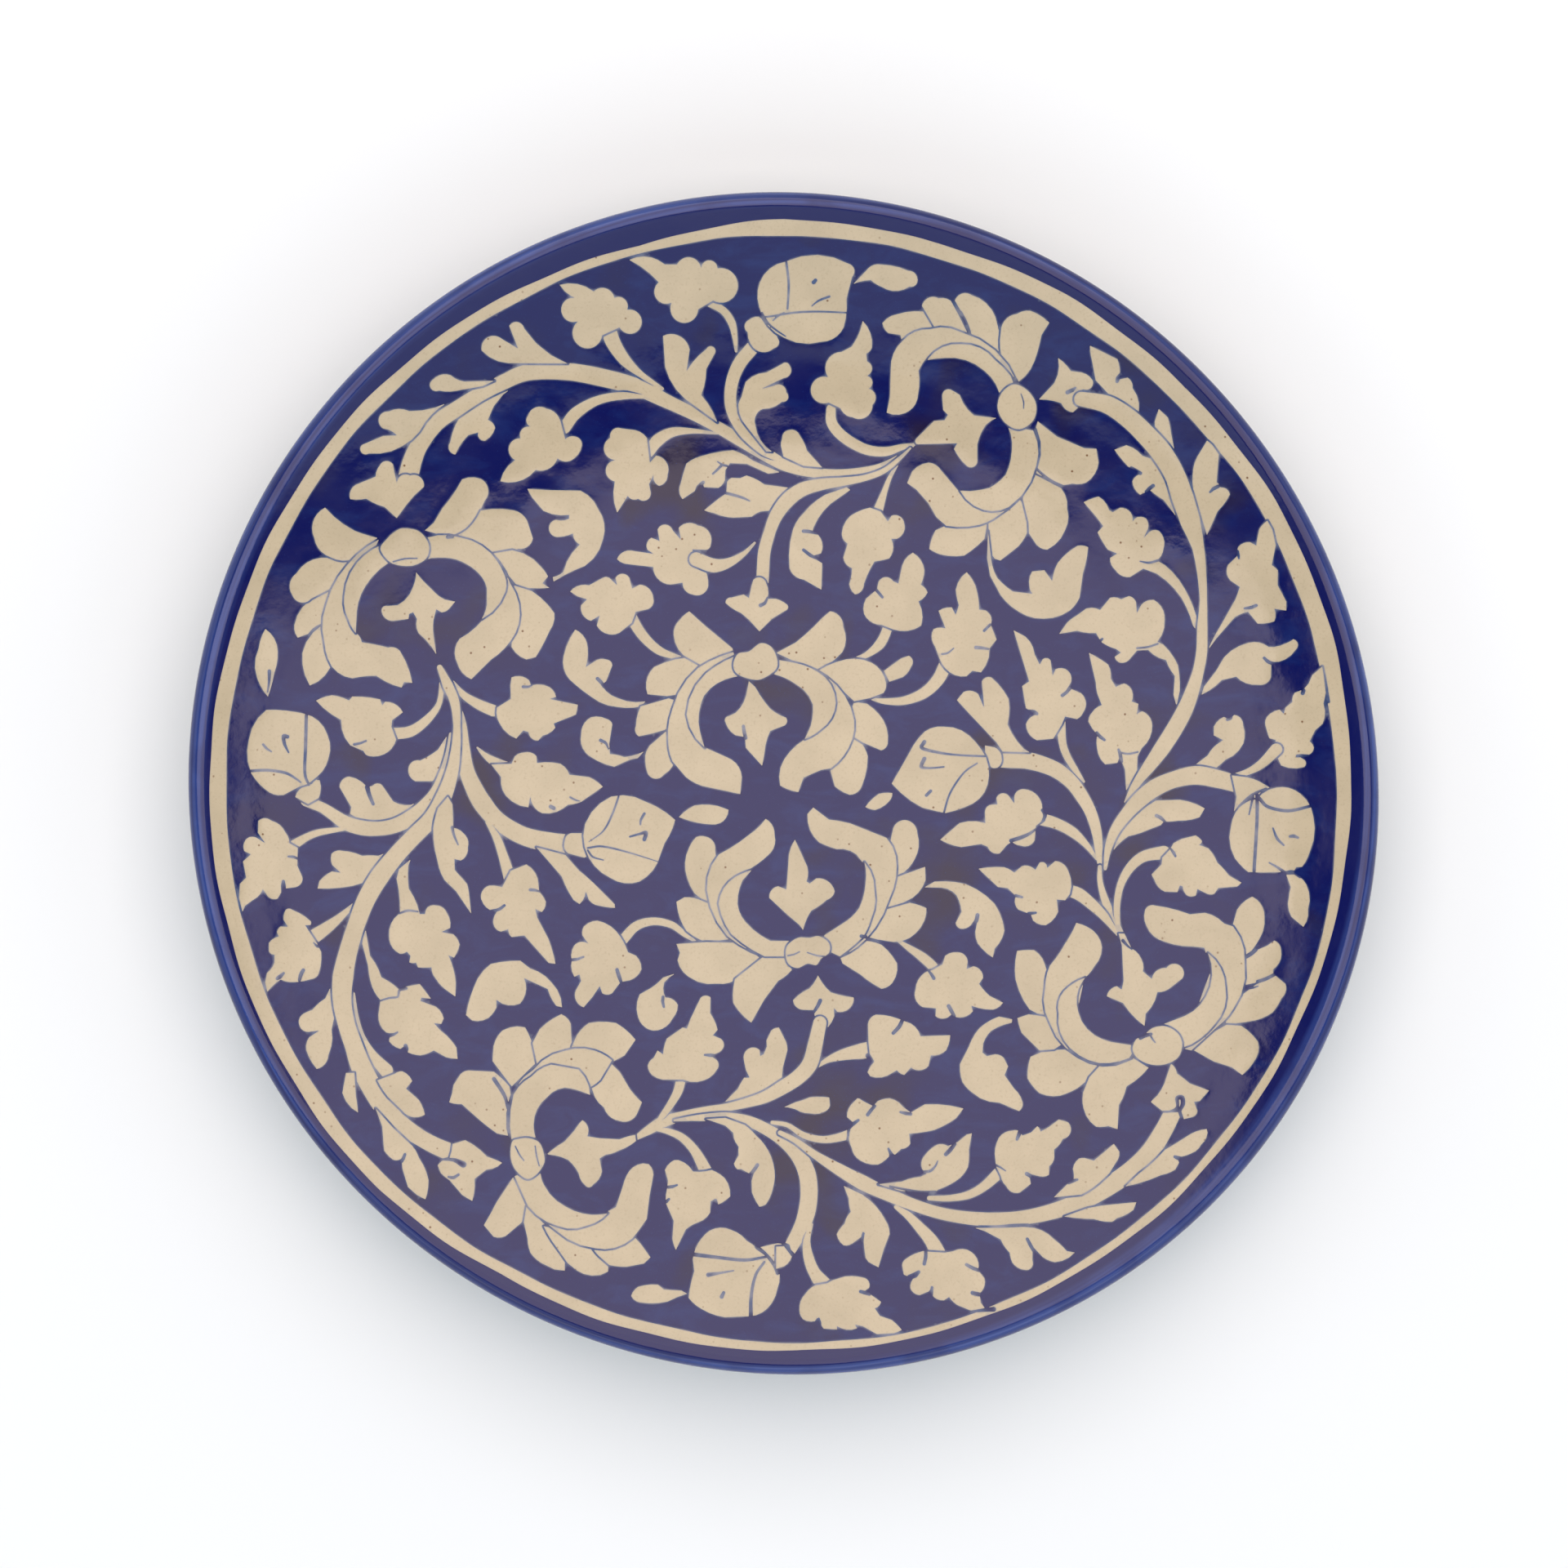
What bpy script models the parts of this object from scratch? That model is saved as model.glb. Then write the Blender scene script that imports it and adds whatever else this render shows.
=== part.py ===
"""Hand thrown coupe plate: a fired clay dish, the foot ring luted under it, and two coats of glaze.

Metres, +Z up. The origin is the centre of the foot ring's resting face. The plate's face looks up.
The face coat covers the face, rolls over the lip and ends a little way down the back. The back coat
goes on from there and stops short of the foot ring.
"""

import math

import bmesh
import bpy

MM = 0.001

# Driving dimensions, in millimetres
PLATE_RADIUS = 150.0
FLOOR_RADIUS = 50.0
WALL_ARC_RADIUS = 230.0
FOOT_HEIGHT = 6.0
FLOOR_THICKNESS = 7.2
LIP_THICKNESS = 6.0
FOOT_OUTER_RADIUS = 68.0
FOOT_WIDTH = 7.0
FOOT_TAPER = 1.2
FOOT_CHAMFER = 1.2
GLAZE_THICKNESS = 0.5
JOINT_GAP = 0.3
WRAP_RADIUS = 139.0
GLAZE_STOP_RADIUS = 72.0
BARE_RADIUS = 70.0
STEP_WIDTH = 1.0

# The lip is not quite round, as thrown. Each row is a wave round it: how many crests, how high, and
# the azimuth in degrees of one crest.
LIP_WAVES = (
    (2, 1.3, -34.0),
    (3, 0.4, -36.0),
)

SEGMENTS = 72
WALL_STEPS = 7
LIP_STEPS = 6
WRAP_STEPS = 1

# The section follows a spine half way through the wall: flat, then one arc up to the lip
SPINE_FLOOR_Z = FOOT_HEIGHT + FLOOR_THICKNESS / 2
SPINE_END_RADIUS = PLATE_RADIUS - LIP_THICKNESS / 2
SPINE_END_ANGLE = math.asin((SPINE_END_RADIUS - FLOOR_RADIUS) / WALL_ARC_RADIUS)


def spine(angle):
    """A point of the spine's arc, the way out of the face there, and half the wall's thickness."""
    r = FLOOR_RADIUS + WALL_ARC_RADIUS * math.sin(angle)
    z = SPINE_FLOOR_Z + WALL_ARC_RADIUS * (1 - math.cos(angle))
    share = angle / SPINE_END_ANGLE
    half = (FLOOR_THICKNESS + (LIP_THICKNESS - FLOOR_THICKNESS) * share) / 2
    return (r, z), (-math.sin(angle), math.cos(angle)), half


def offset_point(angle, side, inset):
    """A point of the plate's face (side 1) or back (side -1), set in by inset."""
    (r, z), (nr, nz), half = spine(angle)
    reach = side * (half - inset)
    return (r + nr * reach, z + nz * reach)


def angle_at(radius):
    """The spine angle at a radius."""
    return math.asin((radius - FLOOR_RADIUS) / WALL_ARC_RADIUS)


def face_points(inset):
    """From the axis out to the start of the lip."""
    points = [(0.0, SPINE_FLOOR_Z + FLOOR_THICKNESS / 2 - inset)]
    points += [offset_point(SPINE_END_ANGLE * i / WALL_STEPS, 1, inset) for i in range(WALL_STEPS + 1)]
    return points


def lip_points(inset):
    """Round the lip, between the face's last point and the back's first."""
    (r, z), _, half = spine(SPINE_END_ANGLE)
    radius = half - inset
    points = []
    for i in range(1, LIP_STEPS):
        turn = SPINE_END_ANGLE + math.pi / 2 - math.pi * i / LIP_STEPS
        points.append((r + radius * math.cos(turn), z + radius * math.sin(turn)))
    return points


def back_points(inset, start_radius, stop_radius, steps):
    """Down the back, between two radii of the spine."""
    start = angle_at(start_radius)
    stop = angle_at(stop_radius)
    return [offset_point(start + (stop - start) * i / steps, -1, inset) for i in range(steps + 1)]


def underside_z(radius):
    """Height of the bare underside at a radius."""
    if radius <= FLOOR_RADIUS:
        return FOOT_HEIGHT
    return offset_point(angle_at(radius), -1, 0.0)[1]


def unevenness(radius, azimuth):
    """How far the lip's waves move a point outwards; nothing moves within BARE_RADIUS."""
    share = max(0.0, (radius - BARE_RADIUS) / (PLATE_RADIUS - BARE_RADIUS))
    waves = sum(high * math.cos(crests * (azimuth - math.radians(at))) for crests, high, at in LIP_WAVES)
    return share * share * waves


def turned(name, section, closed, material):
    """Turns a section of (radius, height) points in millimetres round +Z into one closed body."""
    mesh = bpy.data.meshes.new(name)
    bm = bmesh.new()
    rings = []
    for radius, height in section:
        if radius == 0.0:
            rings.append([bm.verts.new((0.0, 0.0, height * MM))])
            continue
        ring = []
        for i in range(SEGMENTS):
            azimuth = math.tau * i / SEGMENTS
            reach = (radius + unevenness(radius, azimuth)) * MM
            ring.append(bm.verts.new((reach * math.cos(azimuth), reach * math.sin(azimuth), height * MM)))
        rings.append(ring)
    pairs = list(zip(rings, rings[1:]))
    if closed:
        pairs.append((rings[-1], rings[0]))
    for first, second in pairs:
        for i in range(SEGMENTS):
            j = (i + 1) % SEGMENTS
            if len(first) == 1:
                bm.faces.new((first[0], second[i], second[j]))
            elif len(second) == 1:
                bm.faces.new((first[i], second[0], first[j]))
            else:
                bm.faces.new((first[i], second[i], second[j], first[j]))
    bmesh.ops.recalc_face_normals(bm, faces=bm.faces)
    bm.to_mesh(mesh)
    bm.free()
    mesh.shade_smooth()
    mesh.set_sharp_from_angle(angle=math.radians(40))
    mesh.materials.append(material)
    obj = bpy.data.objects.new(name, mesh)
    bpy.context.scene.collection.objects.link(obj)
    return obj


def principled(name, colour, roughness):
    material = bpy.data.materials.new(name)
    material.use_nodes = True
    shader = material.node_tree.nodes["Principled BSDF"]
    shader.inputs["Base Color"].default_value = (*colour, 1.0)
    shader.inputs["Roughness"].default_value = roughness
    shader.inputs["Metallic"].default_value = 0.0
    return material


def make_clay_dish(material):
    """The thrown dish: bare clay underneath inside BARE_RADIUS, set in under the glaze elsewhere."""
    inset = GLAZE_THICKNESS + JOINT_GAP
    section = face_points(inset) + lip_points(inset)
    section += back_points(inset, SPINE_END_RADIUS, BARE_RADIUS + STEP_WIDTH, WALL_STEPS)
    section += [
        (BARE_RADIUS, underside_z(BARE_RADIUS)),
        (FLOOR_RADIUS, FOOT_HEIGHT),
        (0.0, FOOT_HEIGHT),
    ]
    return turned("clay_dish", section, False, material)


def make_foot_ring(material):
    """The ring luted under the dish, tapered to its resting face, with its edges softened."""
    top_outer = FOOT_OUTER_RADIUS + FOOT_TAPER
    top_inner = FOOT_OUTER_RADIUS - FOOT_WIDTH - FOOT_TAPER
    inner = FOOT_OUTER_RADIUS - FOOT_WIDTH
    section = [
        (FOOT_OUTER_RADIUS - FOOT_CHAMFER, 0.0),
        (FOOT_OUTER_RADIUS, FOOT_CHAMFER),
        (top_outer, underside_z(top_outer) - JOINT_GAP),
        (top_inner, underside_z(top_inner) - JOINT_GAP),
        (inner, FOOT_CHAMFER),
        (inner + FOOT_CHAMFER, 0.0),
    ]
    return turned("foot_ring", section, True, material)


def make_face_glaze(material):
    """The painted coat: the face, the lip and the blue that wraps a little way down the back."""

    def skin(inset):
        back = back_points(inset, SPINE_END_RADIUS, WRAP_RADIUS, WRAP_STEPS)
        return face_points(inset) + lip_points(inset) + back

    return turned("face_glaze", skin(0.0) + skin(GLAZE_THICKNESS)[::-1], False, material)


def make_back_glaze(material):
    """The plain coat of the back, from the edge of the blue to just outside the foot ring."""

    def skin(inset):
        return back_points(inset, WRAP_RADIUS - JOINT_GAP, GLAZE_STOP_RADIUS, WALL_STEPS)

    return turned("back_glaze", skin(0.0) + skin(GLAZE_THICKNESS)[::-1], True, material)


def main():
    for obj in list(bpy.data.objects):
        bpy.data.objects.remove(obj)
    make_clay_dish(principled("dish_clay", (0.62, 0.42, 0.29), 0.85))
    make_foot_ring(principled("foot_clay", (0.58, 0.38, 0.26), 0.9))
    make_face_glaze(principled("painted_glaze", (0.06, 0.07, 0.25), 0.12))
    make_back_glaze(principled("plain_glaze", (0.75, 0.66, 0.48), 0.2))


main()
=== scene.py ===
"""Looks of a hand painted coupe plate: cream motifs kept in reserve in a brushed cobalt ground.

The ornament is drawn on a canvas in plate millimetres, seen from above with +X right and +Y
up. The canvas keeps how far each point lies inside the cream. Its zero line is the border between
cream and cobalt, which becomes the shared edge of the closed glaze shells that lie on the clay.
"""

import math

import bpy
import numpy as np
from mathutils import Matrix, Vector
from mathutils.geometry import delaunay_2d_cdt

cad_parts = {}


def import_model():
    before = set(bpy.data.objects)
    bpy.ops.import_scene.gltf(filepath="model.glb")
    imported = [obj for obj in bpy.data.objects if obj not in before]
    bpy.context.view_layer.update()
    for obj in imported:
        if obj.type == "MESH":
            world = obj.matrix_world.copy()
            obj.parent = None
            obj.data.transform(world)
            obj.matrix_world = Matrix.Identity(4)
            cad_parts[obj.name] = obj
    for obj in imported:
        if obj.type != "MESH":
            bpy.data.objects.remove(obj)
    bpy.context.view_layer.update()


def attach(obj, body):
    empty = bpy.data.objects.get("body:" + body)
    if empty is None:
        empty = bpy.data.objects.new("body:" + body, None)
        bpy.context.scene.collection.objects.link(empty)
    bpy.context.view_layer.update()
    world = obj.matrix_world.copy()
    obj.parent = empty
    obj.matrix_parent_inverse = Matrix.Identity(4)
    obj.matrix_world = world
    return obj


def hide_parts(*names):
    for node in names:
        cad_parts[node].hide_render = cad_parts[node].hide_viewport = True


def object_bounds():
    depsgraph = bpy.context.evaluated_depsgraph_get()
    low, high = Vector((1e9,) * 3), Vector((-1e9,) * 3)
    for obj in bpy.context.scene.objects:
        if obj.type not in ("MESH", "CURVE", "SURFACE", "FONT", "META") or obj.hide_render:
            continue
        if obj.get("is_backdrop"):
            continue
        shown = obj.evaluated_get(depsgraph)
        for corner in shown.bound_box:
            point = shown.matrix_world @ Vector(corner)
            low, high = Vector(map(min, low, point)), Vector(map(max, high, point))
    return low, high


MM = 0.001

# Section of the plate in millimetres, the same as the CAD's
FOOT_HEIGHT = 6.0
FLOOR_RADIUS = 50.0
FLOOR_HALF = 3.6
LIP_HALF = 3.0
WALL_ARC_RADIUS = 230.0
SPINE_FLOOR_Z = FOOT_HEIGHT + FLOOR_HALF
SPINE_END_RADIUS = 147.0
SPINE_END_ANGLE = math.asin((SPINE_END_RADIUS - FLOOR_RADIUS) / WALL_ARC_RADIUS)
FACE_END_RADIUS = SPINE_END_RADIUS - LIP_HALF * math.sin(SPINE_END_ANGLE)
FOOT_OUTER_RADIUS = 68.0
FOOT_INNER_RADIUS = 61.0
WRAP_RADIUS = 139.0
GLAZE_STOP_RADIUS = 72.0
BARE_RADIUS = 70.0
PLATE_RADIUS = 150.0

# The lip's waves: how many crests, how high, and the azimuth in degrees of one crest
LIP_WAVES = ((2, 1.3, -34.0), (3, 0.4, -36.0))

GLAZE_SHELL = 0.45
CLAY_INSET = 0.8
AROUND = 720

# The painting canvas in millimetres
CELL = 0.15
HALF = 151.5
COUNT = int(2 * HALF / CELL) + 1
UNPAINTED = -40.0
LINE_WIDTH = 0.45
SMALLEST_LOOP = 1.4
BORDER_TOLERANCE = 0.035
LONGEST_SIDE = 1.6
RING_OFFSET = 0.5
GRID_STEP = 2.0

# Shape of the finished surface in millimetres
BAND_MIDDLE_RADIUS = 140.7
LIP_STEPS = 12
WRAP_STEPS = 5
BACK_STEPS = 24
COAT_HEIGHT = 0.05
RING_HEIGHT = 0.02
ROLL_HEIGHT = 0.06
THROWING_STEP = 11.0
TURNING_STEP = 3.2
TURNING_HEIGHT = 0.35

# Camera
SENSOR_WIDTH = 36.0
CAMERA_HEIGHT = 1.3
CAMERA_DROP = 0.0002
PLATE_SHARE_LENS = 3.286

# Colours, linear
COBALT_DEEP = (0.003, 0.006, 0.090)
COBALT_LIGHT = (0.009, 0.030, 0.16)
COBALT_DARK = (0.001, 0.006, 0.06)
COBALT_PLUM = (0.010, 0.008, 0.060)
# Lighter cobalt for the roll of the lip: a painted highlight
COBALT_LIP_HIGHLIGHT = (0.032, 0.065, 0.26)
IRON_POOL = (0.016, 0.010, 0.030)
LINE_BLUE = (0.05, 0.09, 0.20)
LINE_PALE = (0.22, 0.24, 0.30)
CREAM_LIGHT = (0.54, 0.47, 0.33)
CREAM_BUFF = (0.47, 0.41, 0.285)
CREAM_GRIT = (0.36, 0.29, 0.20)
IRON_BROWN = (0.16, 0.08, 0.035)
CLAY_LIGHT = (0.56, 0.38, 0.25)
CLAY_WARM = (0.46, 0.28, 0.17)
CLAY_GROG = (0.25, 0.15, 0.09)
FLOOR_WHITE = (0.85, 0.92, 0.95)
FLOOR_PALE = (0.83, 0.90, 0.93)
GLAZE_ROUGHNESS = 0.12
WARM_WHITE = (1.0, 0.85, 0.79)
COOL_WHITE = (0.9, 0.95, 1.0)
SURROUND_BRIGHT = 0.9
SURROUND_DARK = 0.02


# ---------------------------------------------------------------- curves


def smooth_curve(points, steps=8, closed=False):
    """A Catmull and Rom curve through points, as an array."""
    p = np.asarray(points, float)
    count = len(p)
    t = (np.arange(steps) / steps)[:, None]
    pieces = []
    for i in range(count if closed else count - 1):
        b = p[i]
        c = p[(i + 1) % count]
        a = p[i - 1] if closed or i else 2 * b - c
        d = p[(i + 2) % count] if closed or i + 2 < count else 2 * c - b
        bend = 2 * a - 5 * b + 4 * c - d
        twist = 3 * b - a - 3 * c + d
        pieces.append(0.5 * (2 * b + (c - a) * t + bend * t * t + twist * t ** 3))
    if not closed:
        pieces.append(p[-1:])
    return np.vstack(pieces)


def arc_outline(corners):
    """A closed outline of straight sides and arcs.

    A corner is (x, y) or (x, y, bow). The side that starts there bulges outwards by bow times its
    chord, or inwards where bow is negative.
    """
    points = [complex(corner[0], corner[1]) for corner in corners]
    bows = [corner[2] if len(corner) > 2 else 0.0 for corner in corners]
    ends = points[1:] + points[:1]
    twice_area = sum((a.conjugate() * b).imag for a, b in zip(points, ends))
    outwards = -1j if twice_area > 0 else 1j
    outline = []
    for a, b, bow in zip(points, ends, bows):
        outline.append(a)
        if bow == 0.0:
            continue
        sweep = 4 * math.atan(2 * abs(bow))
        steps = max(3, int(sweep / 0.2))
        side = outwards * math.copysign(1.0, bow)
        centre = (a + b) / 2 + side * (b - a) * (abs(bow) - 0.5 / math.sin(sweep / 2))
        turn = sweep if side.imag < 0 else -sweep
        for k in range(1, steps):
            angle = turn * k / steps
            outline.append(centre + (a - centre) * complex(math.cos(angle), math.sin(angle)))
    return np.array([(p.real, p.imag) for p in outline])


# ---------------------------------------------------------------- painting


class Canvas:
    """Two fields on a grid: how far a point lies inside the cream, and inside a thin blue line."""

    def __init__(self):
        self.cream = np.full((COUNT, COUNT), UNPAINTED, np.float32)
        self.line = np.full((COUNT, COUNT), UNPAINTED, np.float32)

    def window(self, outline, margin):
        """The part of the grid round an outline, and the positions of its cells."""
        low = np.maximum(0, ((outline.min(0) - margin + HALF) / CELL).astype(int))
        high = np.minimum(COUNT, ((outline.max(0) + margin + HALF) / CELL).astype(int) + 2)
        across = np.arange(low[0], high[0]) * CELL - HALF
        up = np.arange(low[1], high[1]) * CELL - HALF
        x, y = np.meshgrid(across, up)
        return (slice(low[1], high[1]), slice(low[0], high[0])), x, y

    def inside_outline(self, outline, margin=2.5):
        """Signed distance into a closed outline."""
        where, x, y = self.window(outline, margin)
        nearest = np.full(x.shape, 1e9)
        inside = np.zeros(x.shape, bool)
        for (ax, ay), (bx, by) in zip(outline, np.roll(outline, -1, axis=0)):
            dx = bx - ax
            dy = by - ay
            size = dx * dx + dy * dy
            if size < 1e-12:
                continue
            t = np.clip(((x - ax) * dx + (y - ay) * dy) / size, 0, 1)
            nearest = np.minimum(nearest, (x - ax - t * dx) ** 2 + (y - ay - t * dy) ** 2)
            if dy:
                inside ^= ((ay > y) != (by > y)) & (x < ax + (y - ay) * dx / dy)
        distance = np.sqrt(nearest)
        return where, np.where(inside, distance, -distance)

    def inside_stroke(self, curve, widths, margin=2.5):
        """Signed distance into a stroke of changing width, and how far along it each point is."""
        where, x, y = self.window(curve, widths.max() / 2 + margin)
        depth = np.full(x.shape, -1e9)
        along = np.zeros(x.shape)
        run = np.concatenate([[0], np.cumsum(np.hypot(*np.diff(curve, axis=0).T))])
        for k in range(len(curve) - 1):
            ax, ay = curve[k]
            dx, dy = curve[k + 1] - curve[k]
            t = np.clip(((x - ax) * dx + (y - ay) * dy) / (dx * dx + dy * dy + 1e-12), 0, 1)
            half = (widths[k] * (1 - t) + widths[k + 1] * t) / 2
            here = half - np.hypot(x - ax - t * dx, y - ay - t * dy)
            better = here > depth
            depth = np.where(better, here, depth)
            along = np.where(better, run[k] + t * (run[k + 1] - run[k]), along)
        return where, depth, along

    def lay(self, where, depth, width=LINE_WIDTH):
        """Lays cream over what is there, with a thin blue contour of that width just outside it."""
        contour = width / 2 - np.abs(depth + width / 2)
        self.line[where] = np.maximum(np.minimum(self.line[where], -depth), contour)
        self.cream[where] = np.maximum(self.cream[where], depth)

    def patch(self, corners):
        """A cream shape of straight sides and arcs."""
        self.lay(*self.inside_outline(arc_outline(corners)))

    def blob(self, points):
        """A round cream shape."""
        self.lay(*self.inside_outline(smooth_curve(points, 6, closed=True)))

    def vine(self, points, widths, root=6.0):
        """A tapering cream stroke, whose contour fades in over its first root millimetres."""
        curve = smooth_curve(points)
        share = np.linspace(0, 1, len(curve))
        spread = np.interp(share, np.linspace(0, 1, len(widths)), widths)
        where, depth, along = self.inside_stroke(curve, spread)
        fade = np.clip(along / root, 0, 1) if root else 1.0
        self.lay(where, depth, LINE_WIDTH * fade - 0.12 * (1 - fade))

    def brush(self, points, widths=(0.5, 0.5, 0.2)):
        """A thin blue line over the cream."""
        curve = smooth_curve(points, 6)
        share = np.linspace(0, 1, len(curve))
        spread = np.interp(share, np.linspace(0, 1, len(widths)), widths)
        where, depth, _ = self.inside_stroke(curve, spread, 1.5)
        self.line[where] = np.maximum(self.line[where], depth)

    def band(self, inner, outer):
        """The cream band round the ornament, between two functions of the azimuth."""
        where, x, y = self.window(np.array([[-PLATE_RADIUS] * 2, [PLATE_RADIUS] * 2]), 0)
        r = np.hypot(x, y)
        azimuth = np.arctan2(y, x)
        depth = np.minimum(r - inner(azimuth), outer(azimuth) - r)
        self.cream[where] = np.maximum(self.cream[where], depth)

    def field(self):
        """Positive where the surface stays cream."""
        return np.minimum(self.cream, -self.line)


# ---------------------------------------------------------------- the ornament


BAND_OUTER = {0: 143.2, 15: 143.5, 30: 143.3, 45: 142.5, 60: 142.8, 75: 142.1, 90: 142.9, 105: 141.1,
              120: 142.3, 135: 143.4, 150: 144.2, 180: 145.1, 210: 144.8, 225: 144.5, 240: 142.8,
              270: 142.9, 285: 143.5, 310: 144.1, 340: 143.5}
BAND_INNER = {0: 139.6, 15: 138.7, 30: 139.1, 45: 138.2, 60: 138.6, 90: 138.9, 120: 139.6, 150: 140.6,
              180: 141.1, 225: 141.1, 240: 140.2, 255: 140.0, 270: 141.0, 285: 141.9, 310: 142.0,
              340: 141.6, 350: 140.7}


def band_edge(stations, phase):
    """A radius that runs through the stations (degrees: mm) and wobbles a little, as a brush does."""
    def radius(angle):
        smooth = np.interp(np.degrees(angle) % 360, list(stations), list(stations.values()), period=360)
        return smooth + 0.12 * np.sin(23 * angle + phase) + 0.08 * np.sin(41 * angle + 2 * phase)
    return radius


def top_branch(c):
    """The branch along the top rim, with its stalks, leaves and bud."""
    c.vine([(-95.4, 78.5), (-94.3, 82.5), (-92.4, 86.5), (-88.2, 91.8), (-83.6, 95.1), (-77.2, 99.2),
           (-71.2, 102.3), (-65, 104.8), (-55, 105.1), (-45, 103.4), (-37, 101.2), (-30.6, 98.2),
           (-22.5, 94.4), (-15, 90.3), (-8, 86.2), (0, 82.0), (8, 79.9), (16, 79.8), (24, 81.3), (30, 84.4),
           (33.2, 86.8)], [5, 4.6, 4, 3.9, 3.6, 3.8, 4.2, 4.5, 4.4, 3.4, 3, 3, 3.2, 2.4, 1.8, 1, .6],
           root=0)
    c.vine([(-31, 101), (-36.5, 104.6), (-40.6, 108.2), (-43.6, 112.8), (-44.8, 117)], [.8, 1.6, 3, 3.8, 4])
    c.vine([(0, 82.8), (-5, 85.5), (-9.8, 89.8), (-12.6, 94), (-13.7, 98), (-13.2, 103), (-11.3, 107.5),
           (-8.2, 111.2)], [1.2, 2.6, 3, 3, 3, 3.2, 3.4, 3.4])
    c.vine([(-12.2, 110.5), (-12.5, 114), (-13.3, 117.5), (-15.5, 120.6), (-19.5, 122.6)],
           [.7, 1.4, 2, 1.9, 1.8])
    c.vine([(-34, 98.8), (-41, 99.2), (-47.5, 98), (-53, 94.8), (-56, 91)], [.6, 1.9, 2.2, 3, 3])
    c.vine([(-17, 89.8), (-23, 90.4), (-28.5, 90.1), (-32.3, 88), (-34.5, 85)], [.5, 1.3, 2.4, 3.2, 2.6])
    c.patch([(-85.5, 96.9, -.06), (-95, 94.7, .12), (-100, 94.5, .4), (-101.5, 90.2, -.1), (-98.2, 88.6),
            (-101.5, 88.4), (-106.3, 86.3, .6), (-105.2, 83.9, .08), (-97, 85.8, .08), (-91, 92, -.05)])
    c.patch([(-73.5, 102.6), (-81, 102.3, -.08), (-84.5, 103.8, .15), (-88.9, 102.6, .5),
            (-87.5, 99.9, .05), (-83.2, 99.9), (-76.5, 101.2)])
    c.patch([(-55, 107.1), (-70, 107.0, .1), (-76.6, 110, .35), (-71.5, 113), (-67.5, 110.7),
            (-69.6, 116.2, .35), (-65.8, 115.6, -.08)])
    c.patch([(-56.8, 126.5, .12), (-48.2, 125, .3), (-43, 123.5, .35), (-39.8, 120.6, 1), (-41.8, 116.2),
            (-46.2, 114.2, .74), (-52.3, 117.6, .8), (-52, 123, .1)])
    c.patch([(-39.2, 132.8, .15), (-30.2, 131.8), (-27.1, 131.8, .35), (-21, 131.1, .45),
            (-16.8, 130.9, .72), (-18, 123), (-21.8, 120.8, .6), (-28.6, 122.4, .45), (-31.8, 127.4, -.05)])
    c.patch([(-17, 92.6, .05), (-21.1, 99.5, .05), (-19.8, 106), (-17.8, 109.6, .6), (-19.8, 111, .05),
            (-24.8, 105.6), (-24, 110.8, .25), (-30.8, 114.2), (-30.3, 106.5, .08), (-25.3, 98.5)])
    c.patch([(-72.4, 77.4, .1), (-68.6, 82.8, .4), (-67.2, 88.3, .3), (-64.6, 91.2, .25), (-65.2, 94, .25),
            (-60.5, 95.8, .15), (-57, 92.8), (-55.8, 88.2, .15), (-53, 88.8, .2), (-51.6, 86.6, .1),
            (-53.5, 83.4, .2), (-57.8, 83.3, .2), (-63.4, 80.3, .15)])
    c.patch([(-42.7, 69.6, .08), (-43.3, 77.6, .45), (-43, 83, .4), (-44.4, 88.6, .3), (-41.5, 91),
            (-38, 90.6, .1), (-35, 88.6), (-34.3, 82.4), (-32.7, 84.2, .25), (-29.8, 79.3, .2),
            (-32, 76.5, .2), (-33.3, 79.4), (-34.5, 77), (-34.2, 75.2, .4), (-37.3, 73.2, .2), (-40, 73.9)])
    c.patch([(-10.9, 99), (-9.8, 102.8, .1), (-4.5, 105.2), (-.5, 107.3, .3), (1.5, 106.8, .3), (0, 103.8),
            (-5.9, 101), (-2.5, 101.9, .3), (.6, 100.2, .4), (-.5, 97.8, .1), (-5.5, 96, -.2),
            (-7.3, 92, -.12), (-3, 85.2), (-4.5, 85.3), (-9.5, 91.5, .1), (-11.7, 97, .05)])
    c.patch([(9.8, 81.2), (5.9, 85.5, .05), (4, 89.4, .2), (1.2, 90.7, .2), (-.5, 88.6, .1), (-.6, 85.8),
            (-.2, 84), (5, 81.6)])
    c.patch([(-9.3, 115.2, .3), (-9, 118.2, .1), (-6.5, 119.1, .1), (-1.2, 113, .2), (-2.6, 111.2, .2),
            (-7.8, 111.3, .1)])
    c.patch([(.4, 132.6, .12), (16.4, 132, .3), (17.3, 128.8), (15.9, 123.5, .05), (15.2, 116.4, .15),
            (9.5, 112.8, .1), (0, 113.8, .12), (-6.3, 121.4, .12), (-5.2, 129.3, .1)])
    c.patch([(17.5, 127), (20.8, 130.3, .15), (24.5, 131.8, .05), (31.5, 130.2, .2), (33.8, 128.3, .3),
            (31.8, 126.3, .15), (24.8, 126.3, .05), (22, 128, -.05)])
    c.brush([(.6, 132.4), (1.2, 127), (.9, 121)], (.6, .6, .5))
    c.brush([(-5, 119), (-3, 119.2), (3, 120.1), (9, 120.3), (16.2, 120)], (.4, .5, .4))
    c.brush([(-5.6, 120), (-4, 117.4), (-1.8, 115.6), (.4, 114.2)], (.5, .5, .3))
    c.brush([(-2.8, 118.1), (-1.6, 119.2), (0, 120)], (.3, .5, .4))
    c.brush([(7.5, 127.5), (8, 128)], (1, .9))
    c.brush([(7.1, 121.7), (8.8, 123), (11.5, 124)], (.3, .5, .6))



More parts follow.
